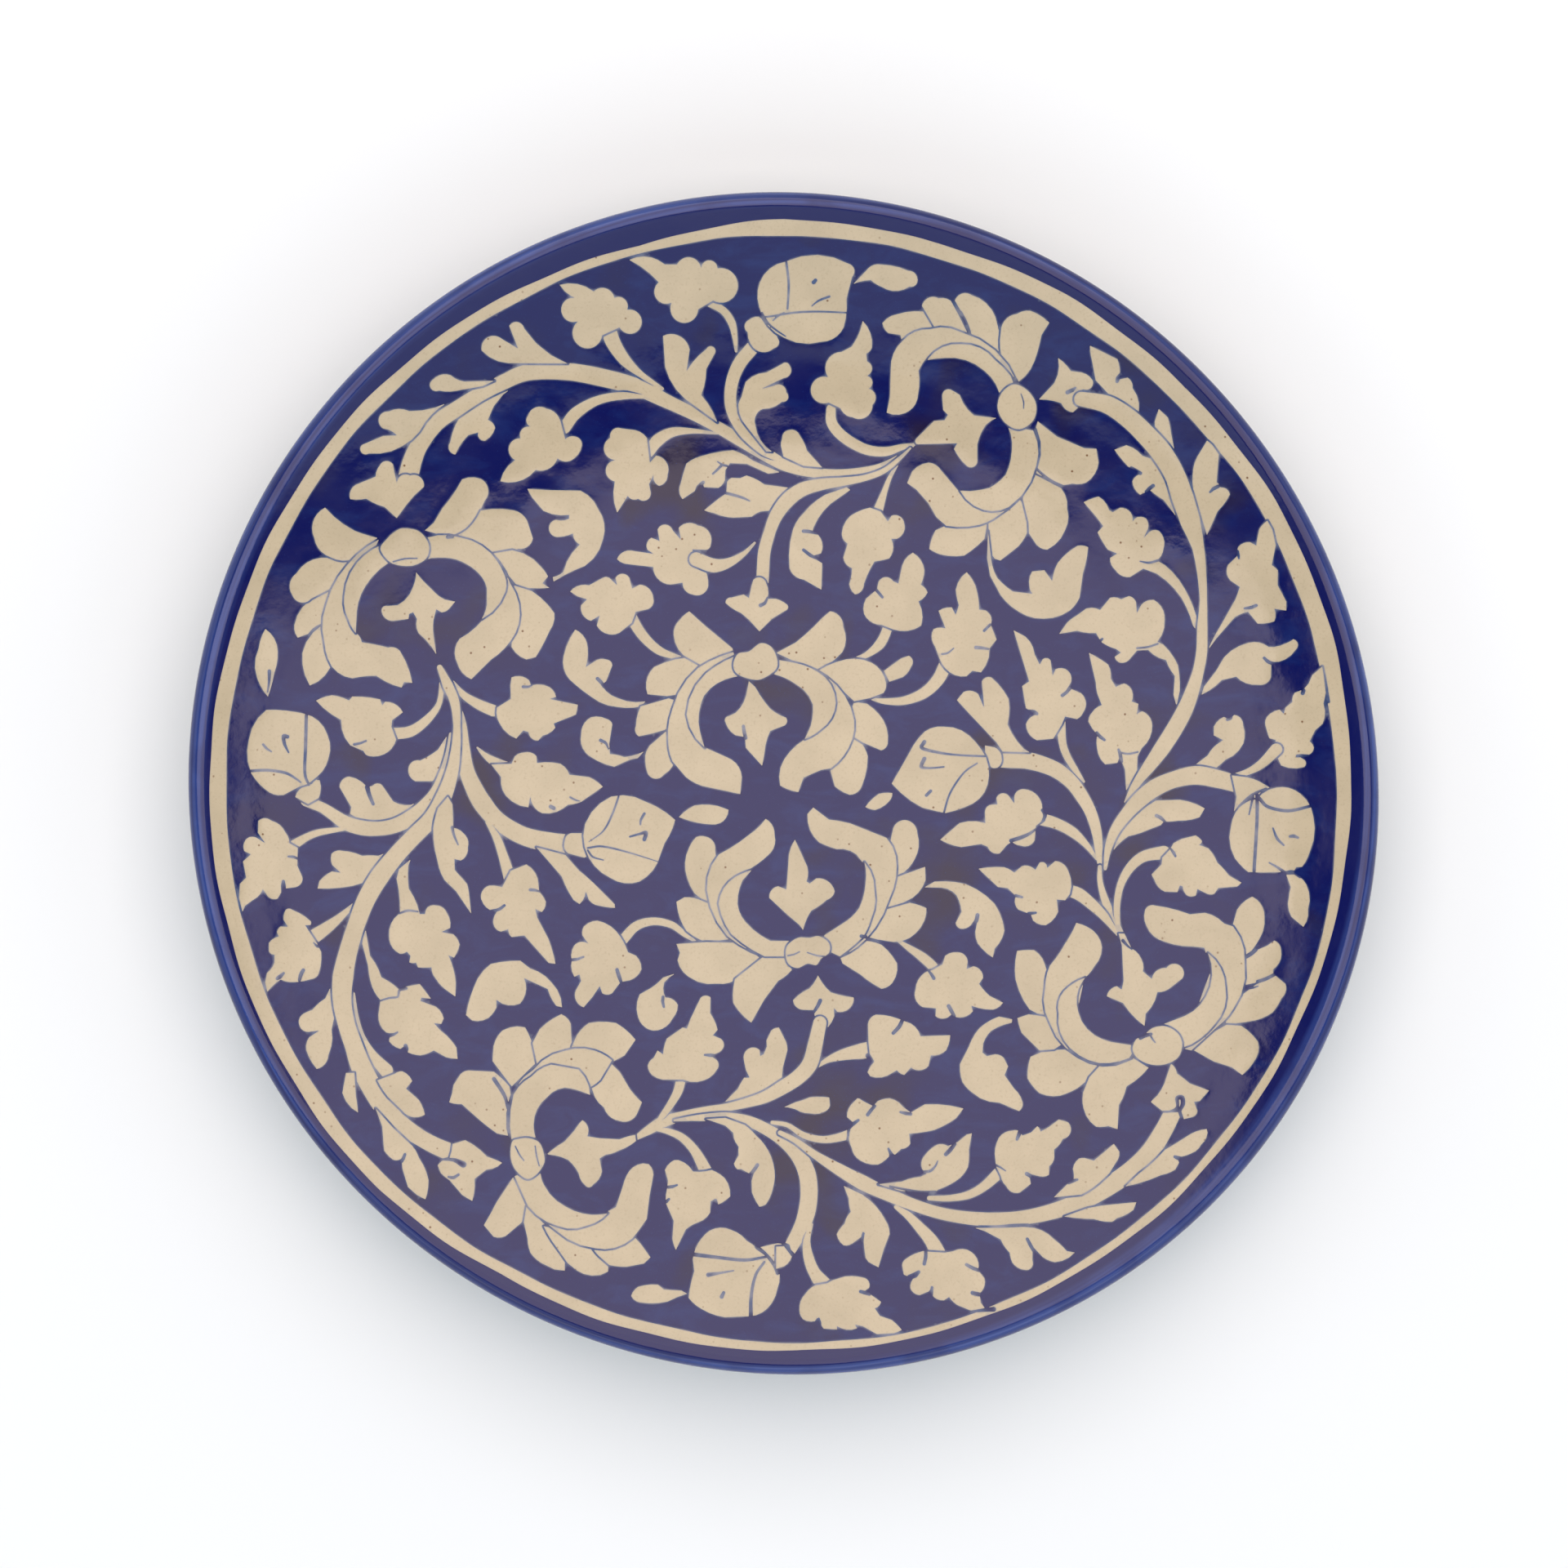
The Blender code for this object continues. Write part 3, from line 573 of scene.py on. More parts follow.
def lotus_middle_lower(c):
    """The lotus round the disc at (6, -43), which opens upwards."""
    c.patch([(2.8, -14), (6, -21, .08), (5.8, -24.8), (6.6, -25.3), (8.2, -24, .2), (13, -27.3, .15),
            (11, -29.5, .03), (7, -32.3, -.05), (4.9, -37.3), (4, -36), (.5, -33), (-3.8, -29, .2),
            (-1.5, -26), (.6, -26.8), (1.1, -20, .08)])
    c.patch([(-22.5, -13.4, .1), (-20, -13.3, .2), (-17.6, -16.8), (-17, -22), (-18, -30), (-20, -30.2),
            (-23, -27.8, .05), (-25.3, -22, .08), (-24.3, -16, .05)])
    c.patch([(-27.6, -30), (-25.5, -28.8, .05), (-22, -29.3), (-18, -31), (-16, -36), (-13, -39.5),
            (-20, -40.3, .05), (-25, -37.5, .05), (-27.2, -32.5)])
    c.patch([(-27.6, -40.8), (-26.7, -43), (-27.3, -45, .1), (-24.5, -49.2, .1), (-17, -51, .08),
            (-12.8, -50.3, -.03), (-6.3, -44.3), (-11, -40.5), (-20, -40.3)])
    c.patch([(-5.5, -44.2), (-12.6, -49.8, .05), (-13, -56, .05), (-8.4, -61), (-5, -55),
            (-1.5, -50.3, .05), (2, -47.5), (1, -43)])
    c.patch([(27.4, -13.8), (28, -11, .15), (31, -9, .2), (34.2, -12.5, .08), (34.2, -17.5, .05),
            (32, -21.3), (29.3, -23.8), (26, -20)])
    c.patch([(36.2, -21), (31.5, -22.7), (28, -24), (25.5, -31.5), (29, -31), (33, -29, .08),
            (36.3, -24.5)])
    c.patch([(25, -32.3), (32.3, -30.2, .03), (36.5, -31.6, .05), (36, -34.8, .08), (32.2, -39.3, .1),
            (26, -40, .03), (20, -38.5)])
    c.vine([(29, -39.8), (32, -41.8), (35.5, -44.2), (38.3, -46.8), (40, -50)], [.6, 1.6, 2.4, 2.6, 3])
    c.patch([(14.5, -44.5), (17, -41), (20.8, -40, .05), (25, -41, .05), (29, -45.8, .1), (27.8, -50.8, .1),
            (25, -52.3, .03), (19.5, -48.6), (15, -45.8)])
    c.patch([(-4.7, -8.7, .15), (-2.4, -13, .15), (-4, -18, .03), (-8.3, -21.3, -.1), (-13, -28), (-9, -39),
            (-2, -43), (-5, -44, .05), (-14.5, -38.8, .08), (-19.8, -27, .1), (-16.7, -17.8, -.03),
            (-9, -12.8, -.05)])
    c.patch([(-8.2, -21.8), (-10.6, -24.5, -.06), (-11.9, -30.5, -.08), (-9.8, -35.2, -.05), (-3.5, -40),
            (2, -40), (1, -44), (-5, -44, .04), (-13.5, -38.3, .06), (-16.8, -30.5, .12),
            (-12.5, -23.6, .03)])
    c.patch([(7.5, -5.8), (11.5, -8.9, .02), (17, -9.9), (26.3, -13.6, .1), (28.9, -21, .06),
            (27, -29.3, .06), (20.8, -39.8, .06), (14.3, -44), (11, -42), (20, -34), (21, -21),
            (18.5, -17.8, -.1), (13.5, -16.5, .02), (9, -14.8, .12), (6, -7.5)])
    c.patch([(20.6, -19.8, .1), (23.2, -27, .08), (22.3, -34.5, .04), (20.3, -39, .02), (14.3, -44),
            (11, -42.5), (10.3, -38.6), (16, -34.9, -.05), (19.3, -31.5, -.05), (20.9, -25, -.05)])
    c.brush([(19.8, -38.8), (21, -39)], (.9, .9))
    c.blob([(.4, -43.5), (1, -41), (3.6, -39.2), (6.5, -39.2), (9, -38.8), (11.5, -40.5), (11.6, -43),
           (9.5, -44.6), (8.3, -46.2), (6, -45.9), (3.5, -47), (1.2, -46)])
    c.brush([(1, -43.8), (2.5, -43.5), (4, -42.8)], (.4, .4, .3))
    c.brush([(6, -43), (8.5, -43.8), (10.5, -44)], (.3, .4, .4))
    c.patch([(8.7, -48.8, -.05), (12, -53.2, -.03), (17.9, -54.5, .25), (13.6, -58.2), (12.8, -57.2),
            (12.9, -59.3, .08), (10.3, -63, .25), (8, -60, .05), (7.8, -57.8), (5, -57.7, .2),
            (2.3, -55.2, .05), (6.5, -52.2, -.05)])
    c.brush([(9.3, -55.3), (8.6, -56.8), (7.6, -58.3)], (1, .9, .7))


def leaves_lower_right_of_middle(c):
    """Leaves and curls right of the lower middle lotus."""
    c.vine([(8.2, -72.5), (11, -70.6), (15, -69.2), (20, -68.2), (24, -67.6)], [.6, 1.4, 2.8, 4, 4.4])
    c.patch([(21.6, -65.6), (21.5, -61.3, .15), (23.5, -58.9, .05), (29.5, -60), (32.6, -61.2, .1),
            (35, -64.4), (42.6, -64.1, .05), (41.6, -67.9, .12), (37.6, -69.3), (37, -72, .2),
            (32.5, -72.4), (30.8, -74.3, .1), (28.9, -73.1), (26.5, -74.5, .1), (22, -74.6),
            (21.4, -73.6, .05), (23, -71), (22, -69.6)])
    c.brush([(21.5, -69.4), (22.5, -70.8)], (1.3, 1.1))
    c.brush([(30.2, -60.6), (29.5, -62), (28, -63.6)], (1, 1, .9))
    c.patch([(40.6, -46), (41.3, -43.8, .1), (44.5, -42.9, .2), (47.1, -45.3), (46.8, -47.2),
            (48.5, -46.5, .2), (51, -49.5), (50, -51, -.03), (52.6, -54), (56.1, -55.8, .1),
            (53.5, -57.6, .05), (48, -56.6), (48.4, -58, .15), (44, -59.5), (43, -58.8), (42, -59.6, .15),
            (38.8, -59.3), (38.9, -57.3), (35.6, -57, .2), (33.7, -52.5, .1), (35.3, -48.8, .1),
            (38, -47.5)])
    c.brush([(42.2, -56.7), (42.8, -57.8), (43.6, -59.2)], (1, 1, .8))
    c.brush([(38.4, -49.6), (37.8, -48.6), (37, -47.6)], (.9, .8, .5))
    c.patch([(36, -26.3), (38.5, -24.8, .04), (46.5, -25.4, .06), (54, -30.5, .06), (56.5, -37.3, .08),
            (54, -42), (53.5, -44.3, .05), (49.6, -40.6, .1), (49.3, -36.2), (49.7, -33.4),
            (48.3, -35.5, .15), (45.2, -36.9, .15), (44, -35.4), (45.5, -32.5, -.05), (44.2, -28.3, -.1),
            (40.5, -26.4)])
    c.brush([(49.6, -33.4), (49.3, -34.8), (48.4, -36)], (1, 1, .9))
    c.vine([(80, -19), (77.5, -15.5), (74, -12.2), (70, -10), (66, -8.8)], [.6, 1.6, 2.6, 2.8, 3.2])
    c.patch([(40, -14.1), (45, -9.8, .08), (51.6, -9.8), (51.5, -7, .2), (53.2, -5.1), (54.7, -5),
            (54.4, -3.5, .3), (57.6, -2.8), (59, -4.7), (59, -3, .2), (61.5, -1.1, .2), (66.2, -6),
            (66.5, -9), (64.6, -10.5), (64.2, -14.3, .2), (60.7, -15.6, .1), (58.4, -14.6), (57.2, -15.4),
            (55.3, -17.6, .2), (52.2, -15.9), (50.5, -15.2), (45.5, -16, .05)])
    c.brush([(58.2, -14.3), (60.5, -13.6), (62.8, -12.6), (64.6, -11.3)], (1, 1, .8, .5))
    c.brush([(66.2, -6.5), (66.9, -7.8), (66.2, -9.5)], (.8, 1, .6))
    c.vine([(85.5, -38.5), (82, -33.8), (79, -30.8), (75.5, -28), (72, -26.8)], [.8, 2.2, 2.8, 3.2, 3])
    c.patch([(49.8, -21.5, .03), (56.5, -21.1, .05), (59, -22.5), (61, -20.8, .15), (64.4, -21.8),
            (65.5, -19.9, .3), (67.4, -21.3), (69.5, -19.5, .15), (72.8, -22, .1), (73.2, -28), (72, -29.6),
            (69.9, -29.4), (70.2, -32.5, .1), (67, -36, .1), (63.8, -34.8), (63.2, -33.2), (60, -32, .15),
            (59.4, -28.5), (57.3, -26.5), (54.8, -26.2)])
    c.brush([(59.4, -28.4), (61, -28.8)], (.8, .6))
    c.brush([(62.7, -33), (64.5, -32.8)], (.9, .6))


def left_bud(c):
    """The bud at the left rim and its stem, with the hooked leaves above the stem."""
    c.patch([(-95.8, 4.8, .2), (-93, 6.2, -.03), (-88.5, 9), (-85.6, 13.5), (-85.8, 9), (-88, 2), (-90, .9),
            (-94.2, .9, .2)])
    c.patch([(-113.2, -.6, .2), (-110.8, 2.1, .1), (-106.3, -.6), (-104.9, -.2, .25), (-102.4, -.3),
            (-99.8, -4.2, -.1), (-95.2, -5.1, -.1), (-88.9, .8), (-92, -5.5), (-100, -10), (-106, -10.2),
            (-110.6, -7.4), (-110.3, -5.7)])
    c.brush([(-106.3, -.6), (-105.8, -2.5), (-104.8, -4.9)], (1.2, 1, .8))
    c.vine([(-121.5, -4.2), (-117.5, -5.8), (-114.5, -7.8), (-111.5, -9.8), (-107.5, -11), (-103.5, -11.2),
           (-99.5, -10.5), (-95.5, -8.6), (-92, -5.8), (-89, -2), (-87, 3), (-85.8, 8), (-85.3, 13)], [2.6,
           2.6, 3, 3.6, 3.8, 3.6, 3.7, 4, 3.8, 3.2, 2.4, 1.6, .8], root=0)
    c.patch([(-124.2, -3.1, .1), (-122.3, -.5), (-120, .2), (-118.7, 2.2, .1), (-117.9, -1.5, .05),
            (-118.4, -3.4), (-121, -4.9)])
    c.brush([(-119.2, 2.4), (-118.5, 1.6)], (1, .9))
    c.patch([(-131.2, 19, .03), (-124, 18.5, .03), (-120, 17.4, .1), (-116.2, 12.8, .1), (-116, 6.5, .08),
            (-118.6, 2.2), (-121, .2), (-123, -.4), (-127, -2.6, .12), (-131.5, -1.2, .05), (-135, 3, .08),
            (-135.5, 11.5, .1)])
    c.brush([(-121.4, 17.6), (-121.6, 10), (-121.8, 3), (-120.8, 0)], (.8, .8, .7, .6))
    c.brush([(-135.2, 3.5), (-131, 3.7), (-126.5, 3), (-123.8, 1.4), (-122.8, .6)], (.7, .7, .7, .5, .4))
    c.brush([(-132, 10.2), (-131.2, 9.2), (-130, 8.4)], (.6, .6, .3))
    c.brush([(-126.1, 12.2), (-127, 12.3), (-126.8, 10.4), (-125.8, 8.2)], (1, 1, .8, .4))


def leaves_far_left(c):
    """Leaves that hang from the trunk along the left rim, and the trunk itself."""
    c.vine([(-111.5, -11.2), (-115, -11.6), (-118.5, -12.2), (-121.5, -13.4), (-125, -15.6)],
           [.8, 1.4, 1.7, 1.9, 2.6])
    c.patch([(-133.2, -9.1, .2), (-130, -9.1, .12), (-126.6, -12, .1), (-125.6, -14.8), (-123.5, -16),
            (-123.6, -20.5), (-122.5, -23, .25), (-124, -26), (-127, -26.4), (-128.4, -28.9, .2),
            (-131.2, -27.6), (-132, -26.5, .1), (-134.4, -29.2), (-136.3, -30.6), (-136.9, -32.2),
            (-137.8, -28.5), (-137.6, -25), (-136.1, -23.5), (-136.9, -19.4), (-135, -17.6),
            (-136.6, -16.8, .15), (-136, -13.6, .15), (-133.6, -13.4), (-131.5, -14.8), (-133.3, -12.2)])
    c.brush([(-125.8, -18.2), (-124.6, -18.3), (-123.6, -18.7)], (.5, .7, .6))
    c.brush([(-127, -24.5), (-127, -25.6), (-126.9, -27)], (.8, 1.2, 1.2))
    c.patch([(-115.2, -17.6, .15), (-112.5, -16.8, .05), (-107.5, -18.1, .03), (-103.5, -18.1, .03),
            (-99.5, -16.9), (-98, -20), (-103, -24), (-106.5, -24.8), (-110, -25.8, .03), (-118.6, -26.4),
            (-118.1, -24.4, .05), (-115, -22), (-112.9, -22.4), (-115, -20.4, .08)])
    c.patch([(-115.2, -51.5), (-116.4, -54.2, .05), (-119.5, -57, .02), (-121.6, -57.9, .2),
            (-122.6, -61, .2), (-119.8, -62.5), (-117.8, -62.3), (-120.2, -63.9, .1), (-120.9, -67, .05),
            (-118.2, -71.9, .18), (-115.4, -68.5, .08), (-114.7, -62), (-113.9, -58), (-113, -53)])
    c.vine([(-109, -30), (-112.5, -33.3), (-115.5, -35.8), (-119, -38.3)], [.8, 1.8, 2.8, 3.6])
    c.patch([(-126.4, -31.7, .2), (-124.8, -31.7, .05), (-120.1, -34.7, .1), (-120.2, -35.6),
            (-121.5, -35.7), (-120.7, -37), (-118.5, -40.4), (-117.5, -42.5, .05), (-118.1, -48, .15),
            (-120, -49.3, .05), (-125, -50, .05), (-127.4, -49.3, -.05), (-130.6, -52.4), (-131.2, -50),
            (-130.8, -47.6, -.08), (-129, -45), (-129, -43, .2), (-130.4, -42), (-130.4, -40, .1),
            (-128, -38.4), (-128.5, -37.3, .1), (-127.6, -35.9), (-125.8, -36), (-126.9, -34.2, .08)])
    c.brush([(-119.4, -40.1), (-118.5, -41), (-117.4, -41)], (.3, .7, .7))
    c.brush([(-121.9, -47), (-122.5, -48.2), (-122.8, -49.5)], (.9, 1, .8))
    c.brush([(-126.7, -47.7), (-127.6, -48.6), (-128.2, -49)], (.6, 1.1, .9))
    c.patch([(-98.9, -24, -.03), (-98, -32.7), (-99.4, -34, .1), (-100.7, -38.5, .15), (-98, -43.1, .1),
            (-96.2, -42.6), (-95.3, -43.6), (-95.6, -45.3, .1), (-93.9, -45.4), (-93.4, -46.6, .03),
            (-90, -46.6, .1), (-88.8, -49.6, .05), (-86.5, -52.2), (-83.9, -54.1), (-83.8, -50.5, .03),
            (-85, -45.2), (-85.7, -43.6), (-84.3, -44.2, .05), (-82.9, -40.8, .08), (-84.5, -38.2),
            (-87.5, -37.6), (-85.3, -36.6, .1), (-86.2, -32.7, .15), (-88.8, -30.8, .1), (-91, -31.2, .1),
            (-91.7, -33), (-93, -33, .05), (-95.8, -26.5, -.03), (-95.9, -20.5), (-95.3, -19),
            (-98.3, -21.5)])
    c.brush([(-98.1, -32.8), (-96, -32.1), (-93.5, -32.4)], (.5, .6, .4))
    c.patch([(-106.7, -36, .02), (-107.4, -40.5), (-105.9, -46, .03), (-104.8, -51.5, .05), (-102.7, -54.8),
            (-103.2, -58.5, .12), (-101.2, -63, .1), (-98.5, -62.9), (-100.1, -64, .1),
            (-100.4, -65.3, .08), (-97.6, -67.2), (-96.2, -66.2), (-95.7, -68.1, .05), (-92.5, -68.9, .05),
            (-89.2, -67.7), (-86, -69.5, .03), (-83.2, -69.9), (-83.5, -67, .05), (-87.5, -62.7),
            (-89.2, -60.8), (-87.4, -61), (-86.8, -59.6, .1), (-88.8, -56.6), (-92.7, -55.1),
            (-92.4, -54.3), (-90, -54.6), (-91.8, -52.2), (-92.9, -50.8), (-97.3, -51.6), (-98, -52.2, .04),
            (-102.5, -49, .05), (-105.4, -43.5)])
    c.brush([(-102.8, -55), (-100.6, -54.3), (-98.4, -54), (-98, -52.4), (-96.3, -51.9)],
            (.4, .5, .5, .6, .8))
    c.brush([(-98.4, -63), (-99.4, -63.6), (-100.3, -63.9)], (.5, .7, .7))
    c.brush([(-96.3, -66.4), (-96, -67.3), (-96.2, -68)], (1, .9, .6))
    c.vine([(-109.3, -53), (-108.6, -59), (-107.2, -64), (-104.6, -68.6), (-101, -72.6)],
           [.5, 1.1, 1.6, 2.4, 3.4])
    c.vine([(-88, 30), (-86, 25.5), (-84.2, 21), (-83.7, 15), (-84, 9), (-85, 3), (-87, -3), (-90, -8.5),
           (-94.4, -13), (-99, -18), (-103.2, -23.5), (-106.5, -29.3), (-109, -36), (-111, -43),
           (-112.1, -49), (-112.2, -55), (-111, -61), (-109.1, -66.5), (-107.3, -71.5), (-104.2, -77.3),
           (-101.2, -82), (-97, -86.2), (-92, -89.7), (-87, -92.3), (-83, -93.8)], [1.4, 2.6, 2.4, 1.8, 2.4,
           3.2, 4, 4.2, 4.2, 4.4, 4.8, 4.6, 4.3, 4.6, 5.2, 4.6, 4.2, 4.4, 5, 5, 4.8, 4.4, 4, 4.2, 4.4],
           root=0)
    c.patch([(-88.5, -6, .03), (-89.7, -11, .04), (-88.6, -19.5, .05), (-86.8, -24.4), (-83.9, -27.2),
            (-80, -33), (-80.5, -28.5, .03), (-81.1, -25.3), (-84.2, -21.8), (-84.3, -19),
            (-82.6, -19.4, .15), (-80.9, -16, .15), (-82, -12.4, .1), (-84.6, -11), (-84.8, -5), (-86, -3)])
    c.brush([(-84.9, -10.9), (-84.4, -13), (-83.4, -15.3)], (.8, .6, .4))


def right_side(c):
    """Leaves, buds and stems between the right-hand vine and the rim."""
    c.patch([(76.4, 72.1, .03), (80.2, 73.5, .1), (82.9, 70, .03), (83.8, 69.5), (85.6, 70.6, .12),
            (88.3, 69.4, .1), (88.8, 67, .1), (90, 68.2, .1), (92.2, 67.8, .15), (92.4, 64.5), (91.7, 63),
            (93, 64.4, .15), (95.5, 64.6, .15), (96.6, 60, .12), (95, 57.2), (97, 56, .05), (102, 50, .03),
            (105, 43), (106, 38), (104.2, 40.5, -.03), (101.3, 47.5, -.05), (95, 53.8), (91.6, 55.1),
            (88.3, 53, .15), (84.6, 54.8, .12), (83.2, 57.9), (85, 59), (82.6, 60, .02), (80, 64.4),
            (81.4, 66), (79.5, 68.5)])
    c.brush([(90.8, 57), (93, 56.6), (95.4, 57.2)], (.3, .6, .6))
    c.patch([(70.4, 38.6), (72.5, 41.6, .03), (75, 43.4), (77.3, 45.1, .1), (80.8, 44.7), (83.3, 47.8, .1),
            (86.1, 47.4), (88, 48.2, .15), (89.9, 46.5), (90.1, 43.9), (91.2, 46, .12), (94.3, 47.2, .15),
            (97.1, 42, .1), (95.3, 36.5), (96.8, 35.8, .05), (100.5, 30.5, .03), (101, 24), (100.2, 20),
            (99.4, 23), (99.7, 27.8, .05), (97.5, 31.8, .08), (93, 34.4), (90.2, 34.3), (88.2, 31.9, .15),
            (85.6, 31.3, .1), (84.5, 32.7), (86.1, 33.8), (84.9, 34.7, .05), (81, 36.6), (79.8, 38.8, .05),
            (75, 39.4), (72.7, 39)])
    c.brush([(90.2, 34.9), (93, 35.2), (95.4, 36)], (.5, .5, .5))
    c.brush([(80.6, 36.6), (81.4, 37.3)], (.9, .6))
    c.patch([(78, 33.8, .02), (82.9, 30.8, .08), (83.6, 27.2), (84.9, 25, .05), (87, 25.9, .12),
            (89, 24, .1), (88.9, 21.3), (90.6, 20.7), (90.2, 18, .08), (91.6, 18.8, .15), (94.1, 15.2, .12),
            (91.5, 9.4), (90.4, 7.2), (90.3, 3.5, .03), (87.5, -1.5), (87.2, 4, .03), (86, 7.4),
            (85.3, 5.6), (82.2, 5.2, .1), (80.1, 9.5, .05), (80.2, 12.8), (78.9, 14.4), (77.9, 16.2, .1),
            (78.9, 18.6, .1), (81.3, 20.4), (80.2, 23.2, .03), (79.8, 26)])
    c.brush([(80.1, 13.3), (80.9, 12.3), (82, 11.5)], (.8, .9, .7))
    c.brush([(86.2, 8.2), (88.2, 7.9), (90.4, 8.4)], (.5, .5, .5))
    c.brush([(85.6, 9), (86, 7.8), (86.3, 6)], (.6, .9, .9))
    c.patch([(122.2, 66.8, .05), (120.3, 64.8, .02), (119.6, 60.6), (118, 61.5, .12), (115.2, 60.4, .05),
            (114.8, 57.9), (112.7, 55.8, .15), (113.3, 51.9), (115.7, 50.2), (114.7, 47.2),
            (111, 40.4, .02), (107.8, 34), (110, 37.2), (114.6, 42.6, -.05), (117.8, 43.9),
            (120.2, 40.9, .05), (124.3, 41.4, .1), (124.3, 44.6), (127.2, 44.1), (127.2, 46.4), (125, 50.6),
            (125, 54.3, .05), (123.5, 55.6), (124.4, 60.6), (123.5, 64.5)])
    c.brush([(117, 44.8), (118.6, 45), (119.8, 45.5)], (.6, .9, .8))
    c.brush([(115, 59.2), (115.3, 58), (115.4, 57.4)], (.8, .7, .4))
    c.patch([(106.4, 22.9), (107, 25), (110, 29), (112, 32.5, .08), (118, 36.1, .12), (123, 35, -.08),
            (127, 35.8, -.05), (129, 36.9, .3), (129.6, 34.2, .1), (125.6, 31.2, .1), (122.2, 32),
            (123.7, 30.6), (123.6, 27.3, .2), (120.5, 25.4, .12), (115, 27.5, .02), (111.5, 26.7, .05)])
    c.brush([(121.9, 32.2), (122.8, 31.3), (123.8, 30.8)], (.7, .9, .8))
    c.patch([(136.1, 29.9), (133.7, 27.8), (132.8, 25.6), (131.6, 24.2), (129.4, 23.3, .1), (128.9, 21),
            (127.2, 19.6), (126.8, 18), (125.8, 19.1, .1), (122.6, 17.2, .12), (122.5, 14.5, .03),
            (123.3, 11.8), (124.8, 11.4), (124.8, 8), (126.2, 4.9, .1), (131.9, 4.5, .2), (132, 6.3),
            (131, 6.9), (133, 7.6, .15), (134.2, 9.5, .1), (133.2, 11), (134.5, 13.8), (136.3, 15.4, .1),
            (136.5, 20.5), (137.2, 24)])
    c.brush([(130.2, 7.3), (131.5, 7.4), (133, 7.3)], (.8, .8, .6))
    c.brush([(131.4, 23.2), (131.6, 23.9), (131.3, 24.6)], (1, 1, .6))
    c.brush([(136.7, 28), (137.2, 24.5), (137.7, 21)], (.5, .6, .8))
    c.vine([(114, 2.2), (118, 3.3), (121.5, 5.4), (125, 9)], [1, 1.6, 2.3, 3])
    c.patch([(104, 4.4), (108, 7.5, .05), (110, 10.1), (111.8, 11.4), (109.5, 12.6), (109.5, 14.8, .1),
            (112, 17.3), (113.3, 16.6), (114.6, 17.8, .2), (116.8, 15.2, .08), (116.9, 10.5, .1),
            (112.5, 6.4, .03), (109, 3.5)])
    c.brush([(112.9, 16.6), (113.6, 17), (113.9, 17.6)], (.8, 1, .6))


